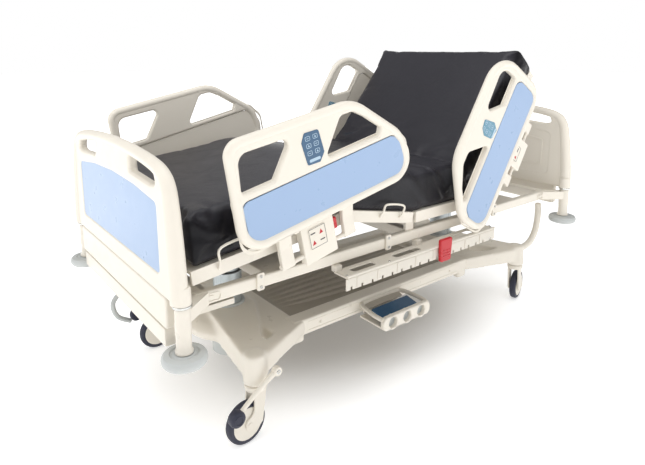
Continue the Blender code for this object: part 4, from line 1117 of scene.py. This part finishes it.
def make_chassis(settings):
    """Two end castings, the folded side members and the head-end guard tubes."""
    meshes = [end_casting("foot"), end_casting("head")]
    low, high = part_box("base_tray")
    for hand in (-1, 1):
        inner, outer = sorted((hand * 0.2340, hand * 0.3000))
        meshes.append(block((-0.545, inner, 0.2405), (0.500, outer, 0.3045), settings.soften))
        inner, outer = sorted((hand * 0.262, hand * 0.3002))
        meshes.append(block((-0.555, inner, 0.214), (-0.495, outer, 0.300), 0.012))
        meshes.append(block((0.440, inner, 0.214), (0.500, outer, 0.300), 0.012))
        face = hand * 0.3006
        for z in (0.2555, 0.2905):
            meshes.append(block((-0.480, face - 0.001, z - 0.0016), (0.430, face + 0.001, z + 0.0016),
                                0.0005))
        for x in (-0.42, 0.0, 0.37):
            meshes.append(screw_head((x, face, 0.273), (0, hand, 0), 0.005))
        guard_y = hand * 0.360
        route = [(1.027, guard_y, 0.500), (1.030, guard_y, 0.430), (1.012, guard_y, 0.352),
                 (0.958, guard_y, 0.299), (0.860, guard_y, 0.283)]
        meshes.append(tube(route, 0.0165, 8, sides=6))
        meshes.append(turned([(0, 0.006), (0.012, 0.005), (0.0165, 0.0), (0.0165, -0.004), (0, -0.004)],
                             (1.027, guard_y, 0.502), steps=24))
    add_piece("chassis", meshes, "base", "paint", ["base_chassis"], sharp=40)
    top = high.z - 0.010
    pan = block((low.x, low.y, low.z), (high.x, high.y, top), 0.004)
    ridges = []
    for k in range(-3, 4):
        foot_y, head_y = k * 0.034, k * 0.062
        ridges.append(lofted([[(x, y - half, top - 0.002), (x, y + half, top - 0.002),
                               (x, y + half * 0.45, top + rise), (x, y - half * 0.45, top + rise)]
                              for x, y, half, rise in ((low.x + 0.030, foot_y, 0.008, 0.001),
                                                       (low.x + 0.140, foot_y * 1.2, 0.012, 0.0085),
                                                       (high.x - 0.140, head_y, 0.020, 0.0085),
                                                       (high.x - 0.030, head_y * 1.03, 0.020, 0.001))]))
    add_piece("cover_tray", [pan, *ridges], "base", "taupe", ["base_tray"])


def make_pedals():
    """Brake pedals with round rubber pads, and the steering hoop."""
    for hand, side in (("left", -1), ("right", 1)):
        name = "brake_pedal_" + hand
        hinge = pivot(name)
        y = hinge.y
        tip = Vector((hinge.x - 0.157, y, hinge.z - 0.108))
        arm = tube([hinge, hinge.lerp(tip, 0.3) + Vector((0, 0, 0.006)),
                    hinge.lerp(tip, 0.7) + Vector((0, 0, 0.005)), tip],
                   0.0095, 6, radii=[1.15, 1.0, 0.85, 0.8])
        boss = bar(hinge + Vector((0, -side * 0.0095, 0)), hinge + Vector((0, side * 0.012, 0)), 0.0155)
        screw = screw_head(hinge + Vector((0, side * 0.0115, 0)), (0, side, 0), 0.008)
        add_piece("pedal_arm_" + hand, [arm, boss], name, "paint", [name])
        add_piece("pedal_screw_" + hand, [screw], name, "steel")
        pad = turned([(0, 0.019), (0.014, 0.0185), (0.022, 0.017), (0.0265, 0.013), (0.028, 0.006),
                      (0.028, -0.008), (0.0255, -0.012), (0, -0.013)], tip, (0, side, 0), 48)
        ridge = turned([(0.013, 0.0195), (0.015, 0.0205), (0.017, 0.0190), (0.015, 0.016)], tip,
                       (0, side, 0), 48)
        add_piece("pedal_pad_" + hand, [pad, ridge], name, "rubber")
    hinge = pivot("brake_pedal_right")
    red_end = hinge + Vector((-0.075, -0.012, -0.052))
    marker = bar(red_end, red_end + Vector((0, 0.030, 0)), 0.017, bevel=0.004)
    add_piece("pedal_release_right", [marker], "brake_pedal_right", "red")
    hoop = pivot("steer_hoop_tilt")
    route = [(-0.775, 0.285), (-0.860, 0.286), (-0.930, 0.262), (-0.972, 0.215), (-0.955, 0.150),
             (-0.900, 0.112)]
    bow = tube([(x, hoop.y, z) for x, z in route], 0.0105, 8, sides=5)
    boss = bar((hoop.x, hoop.y - 0.0385, hoop.z), (hoop.x, hoop.y + 0.010, hoop.z), 0.0165)
    add_piece("steering_hoop", [bow, boss], "steer_hoop", "grey", ["steer_hoop"])


TOE_SPACING = 0.082
TOE_RADIUS = 0.0225              # of the recesses in the foot control's front


def make_foot_control():
    """A bowed guard with three toe recesses round a glossy foot pad."""
    low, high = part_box("foot_control_guard")
    y_out, y_in = low.y, high.y
    middle_z = (low.z + high.z) / 2
    centre = (low.x + high.x) / 2
    half = (high.x - low.x) / 2
    toes = [centre + k * TOE_SPACING for k in (-1, 0, 1)]
    turns = [a * math.tau / 32 for a in range(32)]
    circles = [[(x + TOE_RADIUS * math.cos(a), TOE_RADIUS * math.sin(a)) for a in turns] for x in toes]
    face = axes((0, y_out + 0.011, middle_z), (1, 0, 0), (0, 0, 1), (0, -1, 0))
    front = rounded([(centre - half + 0.004, -0.028, 0.024), (centre + half - 0.004, -0.028, 0.024),
                     (centre + half - 0.004, 0.030, 0.024), (centre - half + 0.004, 0.030, 0.024)])
    bar_mesh = moulding([front, *circles], 0.022, 0.006, face, 4)
    z = middle_z + 0.018
    loop = [(centre - half + 0.012, y_out + 0.012, z), (centre - half + 0.008, y_out + 0.060, z + 0.004),
            (centre - half + 0.022, y_in - 0.020, z + 0.008), (centre - half + 0.060, y_in, z + 0.010),
            (centre + half - 0.060, y_in, z + 0.010), (centre + half - 0.022, y_in - 0.020, z + 0.008),
            (centre + half - 0.008, y_out + 0.060, z + 0.004), (centre + half - 0.012, y_out + 0.012, z)]
    hoop = tube(loop, 0.009, 6, sides=5)
    floor = block((centre - half + 0.020, y_out + 0.018, low.z),
                  (centre + half - 0.020, y_in - 0.004, low.z + 0.009), 0.003)
    slope = lofted([[(x, y_in + 0.024, high.z + 0.006), (x, y_in + 0.024, high.z + 0.001),
                     (x, y_in - 0.030, high.z - 0.022), (x, y_in - 0.030, high.z - 0.017)]
                    for x in (centre - 0.105, centre + 0.105)])
    bracket = block((centre - 0.10, y_in - 0.010, low.z + 0.012), (centre + 0.10, -0.3003, high.z - 0.018),
                    0.004)
    add_piece("foot_control", [bar_mesh, hoop, floor, bracket], "base", "ivory", ["foot_control_guard"])
    add_piece("foot_control_plate", [slope], "base", "taupe")
    cups = []
    for x in toes:
        centre_point = Vector((x, y_out + 0.022, middle_z))
        cups.append(turned([(0, -0.003), (TOE_RADIUS, -0.003), (0.0232, 0.004), (0.0215, 0.0045),
                            (0.019, 0.0), (0, -0.001)], centre_point, (0, -1, 0), 40))
    add_piece("foot_control_cups", cups, "base", "grey")
    add_piece("foot_control_pad", [refined("foot_switch", 0.002, 3)], "foot_switch", "navy", ["foot_switch"])


class BED_OT_base(bpy.types.Operator):
    """Build the wheeled base, its columns, castors, pedals and foot control"""

    bl_idname = "bed.base"
    bl_label = "Base"

    def execute(self, context):
        make_chassis(context.scene.bed_base)
        make_columns()
        make_castors()
        make_pedals()
        make_foot_control()
        return {"FINISHED"}


# ---- Middle frame ----

FRAME_Y = 0.420
CROSS_MEMBERS = ((-1.000, -0.956), (-0.734, -0.586), (-0.044, -0.006), (0.586, 0.734), (0.956, 1.000))


def make_middle_frame():
    """Side rails with their fittings, cross members, hinge brackets and the corner posts."""
    low, high = FRAME_LOW_Z, FRAME_LOW_Z + 0.050
    meshes = []
    screws = []
    for start, end in CROSS_MEMBERS:
        meshes.append(block((start, -0.392, low + 0.004), (end, 0.392, high - 0.003), 0.005))
    for hand in (-1, 1):
        inner, outer = sorted((hand * 0.388, hand * FRAME_Y))
        meshes.append(block((-0.992, inner, low + 0.006), (0.992, outer, high - 0.001), 0.007, segments=4))
        face = axes((0, hand * (FRAME_Y + 0.001), 0), (1, 0, 0), (0, 0, 1), (0, -1, 0))
        for x in (-0.945, 0.945):
            oval = rounded(rectangle(x - 0.040, low + 0.012, x + 0.040, high - 0.008, 0.014), 8)
            meshes.append(moulding([oval, inset(oval, 0.004)], 0.004, 0.0015, face, 2))
            pill = rounded(rectangle(x - 0.026, low + 0.020, x + 0.014, high - 0.016, 0.006), 8)
            meshes.append(moulding([pill], 0.004, 0.0015, face, 2))
        for x in (-0.765, -0.18, 0.52):
            tab = rounded(rectangle(x - 0.014, low + 0.002, x + 0.014, high + 0.012, 0.006), 6)
            clamp = axes((0, hand * (FRAME_Y + 0.004), 0), (1, 0, 0), (0, 0, 1), (0, -1, 0))
            meshes.append(moulding([tab], 0.009, 0.002, clamp, 3))
            for z in (low + 0.014, high):
                screws.append(screw_head((x, hand * (FRAME_Y + 0.0085), z), (0, hand, 0), 0.0055))
        for hinge_x in (BACK_PIVOT.x, THIGH_PIVOT.x):
            inner, outer = sorted((hand * 0.392, hand * 0.408))
            meshes.append(block((hinge_x - 0.024, inner, high - 0.004),
                                (hinge_x + 0.024, outer, BACK_PIVOT.z - 0.002), 0.005))
        for end in (-1, 1):
            post = (end * POST_X, hand * POST_Y)
            meshes.append(between((end * 0.965, hand * 0.404, 0.574), (post[0], post[1], 0.574),
                                  (0.050, 0.040), (0.040, 0.040)))
            profile = [(0, 0.6035), (0.0215, 0.6035), (0.0230, 0.602), (0.0230, 0.560), (0.0238, 0.556),
                       (0.0238, 0.520), (0.0226, 0.516), (0.0226, 0.480), (0.0262, 0.474), (0.0262, 0.466),
                       (0.0098, 0.4655), (0.0098, 0.433), (0, 0.433)]
            meshes.append(turned(profile, (*post, 0), steps=48))
    add_piece("frame_ladder", meshes, "deck_frame", "paint", ["mid_frame"])
    add_piece("frame_screws", screws, "deck_frame", "steel")


def make_bumpers():
    """Grey bumper wheels with a stepped rim."""
    for corner in CORNERS:
        place = pivot("bumper_" + corner + "_roll")
        low, high = (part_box("bumper_" + corner)[i].z for i in (0, 1))
        radius = (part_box("bumper_" + corner)[1].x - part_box("bumper_" + corner)[0].x) / 2
        profile = [(0.0104, high - 0.001), (0.030, high - 0.001), (0.034, high - 0.004),
                   (0.040, high - 0.004),
                   (0.044, high), (0.054, high - 0.0005), (0.061, high - 0.003), (0.0655, high - 0.009),
                   (radius, high - 0.017), (0.0655, low + 0.009), (0.061, low + 0.003), (0.054, low),
                   (0.0104, low)]
        add_piece("bumper_disc_" + corner, [turned(profile, (place.x, place.y, 0), steps=72)],
                  "bumper_" + corner, "grey", ["bumper_" + corner])


def make_accessory_rails():
    """Ledges with oval windows, a rounded lip and a toothed strip below."""
    for hand, name in ((-1, "left"), (1, "right")):
        node = "accessory_rail_" + name
        box_low, box_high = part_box(node)
        start, end = box_low.x + 0.002, box_high.x - 0.002

        def placed(points):
            return [(x, hand * y) for x, y in points]

        windows = [placed(rounded(rectangle(a - 0.004, 0.441, b + 0.004, 0.474, 0.014)))
                   for a, b in ((-0.400, -0.290), (-0.180, -0.040), (0.150, 0.300))]
        ledge = moulding([placed(rounded(rectangle(start, 0.4225, end, 0.499, 0.012))), *windows], 0.006,
                         0.002, Matrix.Translation((0, 0, 0.530)), 3)
        lip = tube([(start + 0.004, hand * 0.499, 0.5335), (end - 0.004, hand * 0.499, 0.5335)], 0.0055, 2,
                   sides=4)
        teeth = [(start, 0.526), (start, 0.482)]
        x = start + 0.020
        while x + 0.03 < end:
            teeth += [(x, 0.482), (x, 0.494), (x + 0.010, 0.494), (x + 0.010, 0.482)]
            x += 0.0515
        teeth += [(end, 0.482), (end, 0.526)]
        edge = axes((0, hand * 0.497, 0), (1, 0, 0), (0, 0, 1), (0, -1, 0))
        strip = moulding([teeth], 0.0055, 0.0012, edge, 2)
        ribs = [block((x - 0.002, min(hand * 0.4995, hand * 0.5025), 0.486),
                      (x + 0.002, max(hand * 0.4995, hand * 0.5025), 0.522), 0.0006)
                for x in [start + 0.0505 + 0.0515 * 2 * k for k in range(int((end - start) / 0.103))]]
        hangers = [block((x - 0.015, min(hand * 0.408, hand * 0.436), 0.528),
                         (x + 0.015, max(hand * 0.408, hand * 0.436), FRAME_LOW_Z + 0.006), 0.003)
                   for x in (-0.440, -0.010, 0.400)]
        add_piece(node + "_piece", [ledge, lip, strip, *ribs, *hangers], "deck_frame", "rail", [node])
        heads = [screw_head((x, hand * 0.487, 0.5335), (0, 0, 1), 0.0055)
                 for x in (-0.448, -0.235, 0.055, 0.408)]
        heads.append(bar((end - 0.001, hand * 0.470, 0.530), (end + 0.006, hand * 0.470, 0.530), 0.006))
        add_piece(node + "_screws", heads, "deck_frame", "steel")


def keeper(section, near, far, side, height):
    """A bent wire that keeps the mattress from sliding off a deck section."""
    route = [(near, -0.022, 0.434), (near, 0.004, 0.4465), (near + 0.010, height, 0.4500),
             (far - 0.010, height, 0.4500), (far, 0.004, 0.4465), (far, -0.022, 0.434)]
    points = []
    for along, up, across in route:
        place = on_deck(section, along, up)
        points.append((place.x, side * across, place.z))
    return tube(points, 0.0042, 5, sides=4)


def make_keepers():
    """Wire mattress keepers on both sides of each deck section."""
    for section, body, height, spans in (("calf", "calf_section", 0.050, ((0.380, 0.520),)),
                                         ("thigh", "thigh_section", 0.030, ((0.090, 0.200),)),
                                         ("back", "back_section", 0.050, ((0.060, 0.180), (0.480, 0.620)))):
        wires = [keeper(section, near, far, side, height) for near, far in spans for side in (-1, 1)]
        add_piece("mattress_keepers_" + section, wires, body, "paint")


def make_housing_details(corner, where):
    """A generic pictogram plate and the red latch on a siderail's housing."""
    end = corner.split("_")[0]
    direction = 1 if end == "foot" else -1
    section = "calf_section" if end == "foot" else "back_section"
    middle = direction * ARM_MIDDLE_U
    face = where @ Matrix.Translation((0, 0, 0.4772))
    plate = rounded(rectangle(middle - 0.044, -0.262, middle + 0.030, -0.186, 0.006), 4)
    add_piece("label_plate_" + corner, [moulding([plate], 0.0016, 0.0005, face, 1)], section, "ivory")
    rim = inset(plate, 0.0025)
    printed = face @ Matrix.Translation((0, 0, 0.0010))
    marks = [moulding([rim, inset(rim, 0.0012)], 0.0010, 0.0002, printed, 1)]
    for u, v in ((-0.026, -0.206), (0.010, -0.240)):
        line = rounded(rectangle(middle + u - 0.010, v - 0.002, middle + u + 0.010, v + 0.002, 0.001), 2)
        marks.append(moulding([line], 0.0010, 0.0002, printed, 1))
    add_piece("label_lines_" + corner, marks, section, "dark")
    arrows = [moulding([rounded([(middle + u - 0.008, v - 0.008, 0), (middle + u + 0.008, v - 0.006, 0),
                                 (middle + u, v + 0.009, 0)])], 0.0010, 0.0002, printed, 1)
              for u, v in ((0.008, -0.210), (-0.026, -0.240))]
    add_piece("label_arrows_" + corner, arrows, section, "red")
    latch = block((middle + direction * 0.068, -0.232, 0.452), (middle + direction * 0.084, -0.190, 0.474),
                  0.004, where)
    add_piece("siderail_latch_" + corner, [latch], section, "red")


class BED_OT_middle(bpy.types.Operator):
    """Build the middle frame, bumpers, accessory rails, decks and drives"""

    bl_idname = "bed.middle"
    bl_label = "Middle frame"

    def execute(self, context):
        make_middle_frame()
        make_bumpers()
        make_accessory_rails()
        make_keepers()
        for node, body, finish, bevel in (
                ("linen_shelf", "linen_shelf", "ivory", 0.003),
                ("back_actuator", "deck_frame", "grey", 0.004),
                ("knee_actuator", "deck_frame", "grey", 0.004),
                ("seat_deck", "deck_frame", "paint", 0.003), ("thigh_deck", "thigh_section", "paint", 0.003),
                ("calf_deck", "calf_section", "paint", 0.003), ("back_deck", "back_section", "paint", 0.003)):
            add_piece(node + "_piece", [refined(node, bevel, 2)], body, finish, [node])
        low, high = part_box("cpr_handle")
        grip = moulding([rounded([(low.x + 0.004, low.z, 0.010), (high.x - 0.014, low.z, 0.010),
                                  (high.x - 0.006, high.z, 0.008), (low.x, high.z, 0.008)], 6)],
                                  high.y - low.y, 0.005,
                        axes((0, (low.y + high.y) / 2, 0), (1, 0, 0), (0, 0, 1), (0, -1, 0)), 4)
        ridges = [block((low.x + 0.014, low.y - 0.0015, z), (high.x - 0.022, low.y + 0.002, z + 0.004), 0.001)
                  for z in (low.z + 0.022, low.z + 0.034, low.z + 0.046)]
        add_piece("release_handle", [grip, *ridges], "cpr_handle", "red", ["cpr_handle"])
        return {"FINISHED"}


# ---- Studio ----

CAMERA_PLACE = (-1.6414, -1.8490, 1.3216)


class StudioSettings(bpy.types.PropertyGroup):
    """Camera and lights."""

    lens: bpy.props.FloatProperty(name="Lens",
                                  description="Focal length for a 36 mm wide sensor, in millimetres",
                                  default=30.34, min=10.0, max=200.0)
    heading: bpy.props.FloatProperty(name="Heading", description="Camera's turn about the vertical",
                                     subtype="ANGLE", default=math.radians(-38.5))
    pitch: bpy.props.FloatProperty(name="Pitch", description="Camera's tilt from looking straight down",
                                   subtype="ANGLE", default=math.radians(79.7))
    shift: bpy.props.FloatProperty(name="Shift", description="Vertical shift of the view, in frame widths",
                                   default=-0.131, min=-0.5, max=0.5)
    power: bpy.props.FloatProperty(name="Power", description="Power of the overhead softbox in watts",
                                   default=62.0,
                                   min=0.0)
    ambient: bpy.props.FloatProperty(name="Ambient", description="Strength of the even light from all round",
                                     default=0.50, min=0.0)


def add_light(name, place, target, size, power):
    """A rectangular soft light aimed at a point."""
    data = bpy.data.lights.new(name, "AREA")
    data.shape = "RECTANGLE"
    data.size, data.size_y = size
    data.energy = power
    made = bpy.data.objects.new(name, data)
    bpy.context.scene.collection.objects.link(made)
    made.location = place
    made.rotation_euler = (Vector(target) - Vector(place)).to_track_quat("-Z", "Y").to_euler()


class BED_OT_studio(bpy.types.Operator):
    """Build the pale floor, the soft lights and the camera"""

    bl_idname = "bed.studio"
    bl_label = "Studio"

    def execute(self, context):
        scene = context.scene
        settings = scene.bed_studio
        data = bpy.data.cameras.new("camera")
        data.sensor_width = 36.0
        data.lens = settings.lens
        data.shift_y = settings.shift
        data.clip_end = 100.0
        camera = bpy.data.objects.new("camera", data)
        camera.location = CAMERA_PLACE
        camera.rotation_euler = (settings.pitch, 0, settings.heading)
        scene.collection.objects.link(camera)
        scene.camera = camera
        floor = bpy.data.meshes.new("floor")
        shape = bmesh.new()
        bmesh.ops.create_grid(shape, x_segments=2, y_segments=2, size=30.0)
        shape.to_mesh(floor)
        shape.free()
        floor.materials.append(FINISHES["floor"])
        ground = bpy.data.objects.new("floor", floor)
        scene.collection.objects.link(ground)
        world = bpy.data.worlds.new("studio")
        world.use_nodes = True
        tree = world.node_tree
        seen = add_node(tree, "LightPath").outputs["Is Camera Ray"]
        level = add_node(tree, "MapRange", {"Value": seen, "To Min": settings.ambient, "To Max": 1.0})
        tree.links.new(level.outputs["Result"], tree.nodes["Background"].inputs["Strength"])
        tree.nodes["Background"].inputs["Color"].default_value = (1.0, 1.0, 1.0, 1.0)
        scene.world = world
        add_light("overhead_softbox", (-0.8, -0.6, 3.6), (0, 0, 0.5), (4.0, 3.0), settings.power)
        add_light("side_softbox", (-4.0, 0.6, 2.4), (0, 0, 0.6), (2.5, 2.5), settings.power * 0.5)
        add_light("front_softbox", (1.2, -4.2, 2.2), (0, 0, 0.5), (3.0, 2.0), settings.power * 0.35)
        scene.view_settings.view_transform = "Standard"
        return {"FINISHED"}


class BED_PT_panel(bpy.types.Panel):
    """Buttons that build the bed"""

    bl_label = "Hospital Bed"
    bl_idname = "BED_PT_panel"
    bl_space_type = "VIEW_3D"
    bl_region_type = "UI"
    bl_category = "Hospital Bed"

    def draw(self, context):
        for operator in OPERATORS:
            self.layout.operator(operator.bl_idname)
        for group in ("bed_colours", "bed_siderails", "bed_boards", "bed_mattress", "bed_base", "bed_studio"):
            settings = getattr(context.scene, group)
            column = self.layout.box().column()
            for name in settings.bl_rna.properties.keys():
                if name not in ("rna_type", "name"):
                    column.prop(settings, name)


OPERATORS = (BED_OT_base, BED_OT_middle, BED_OT_boards, BED_OT_siderails, BED_OT_mattress, BED_OT_studio)
GROUPS = {"bed_colours": BedColours, "bed_siderails": SiderailSettings, "bed_boards": BoardSettings,
          "bed_mattress": MattressSettings, "bed_base": BaseSettings, "bed_studio": StudioSettings}


def register():
    for group in GROUPS.values():
        bpy.utils.register_class(group)
    for operator in OPERATORS:
        bpy.utils.register_class(operator)
    bpy.utils.register_class(BED_PT_panel)
    for name, group in GROUPS.items():
        setattr(bpy.types.Scene, name, bpy.props.PointerProperty(type=group))


def unregister():
    for name in GROUPS:
        delattr(bpy.types.Scene, name)
    bpy.utils.unregister_class(BED_PT_panel)
    for owner in (*OPERATORS, *GROUPS.values()):
        bpy.utils.unregister_class(owner)


def main():
    register()
    make_finishes(bpy.context.scene.bed_colours)
    bpy.ops.bed.base()
    bpy.ops.bed.middle()
    bpy.ops.bed.boards()
    bpy.ops.bed.siderails()
    bpy.ops.bed.mattress()
    bpy.ops.bed.studio()


if __name__ == "__main__":
    main()
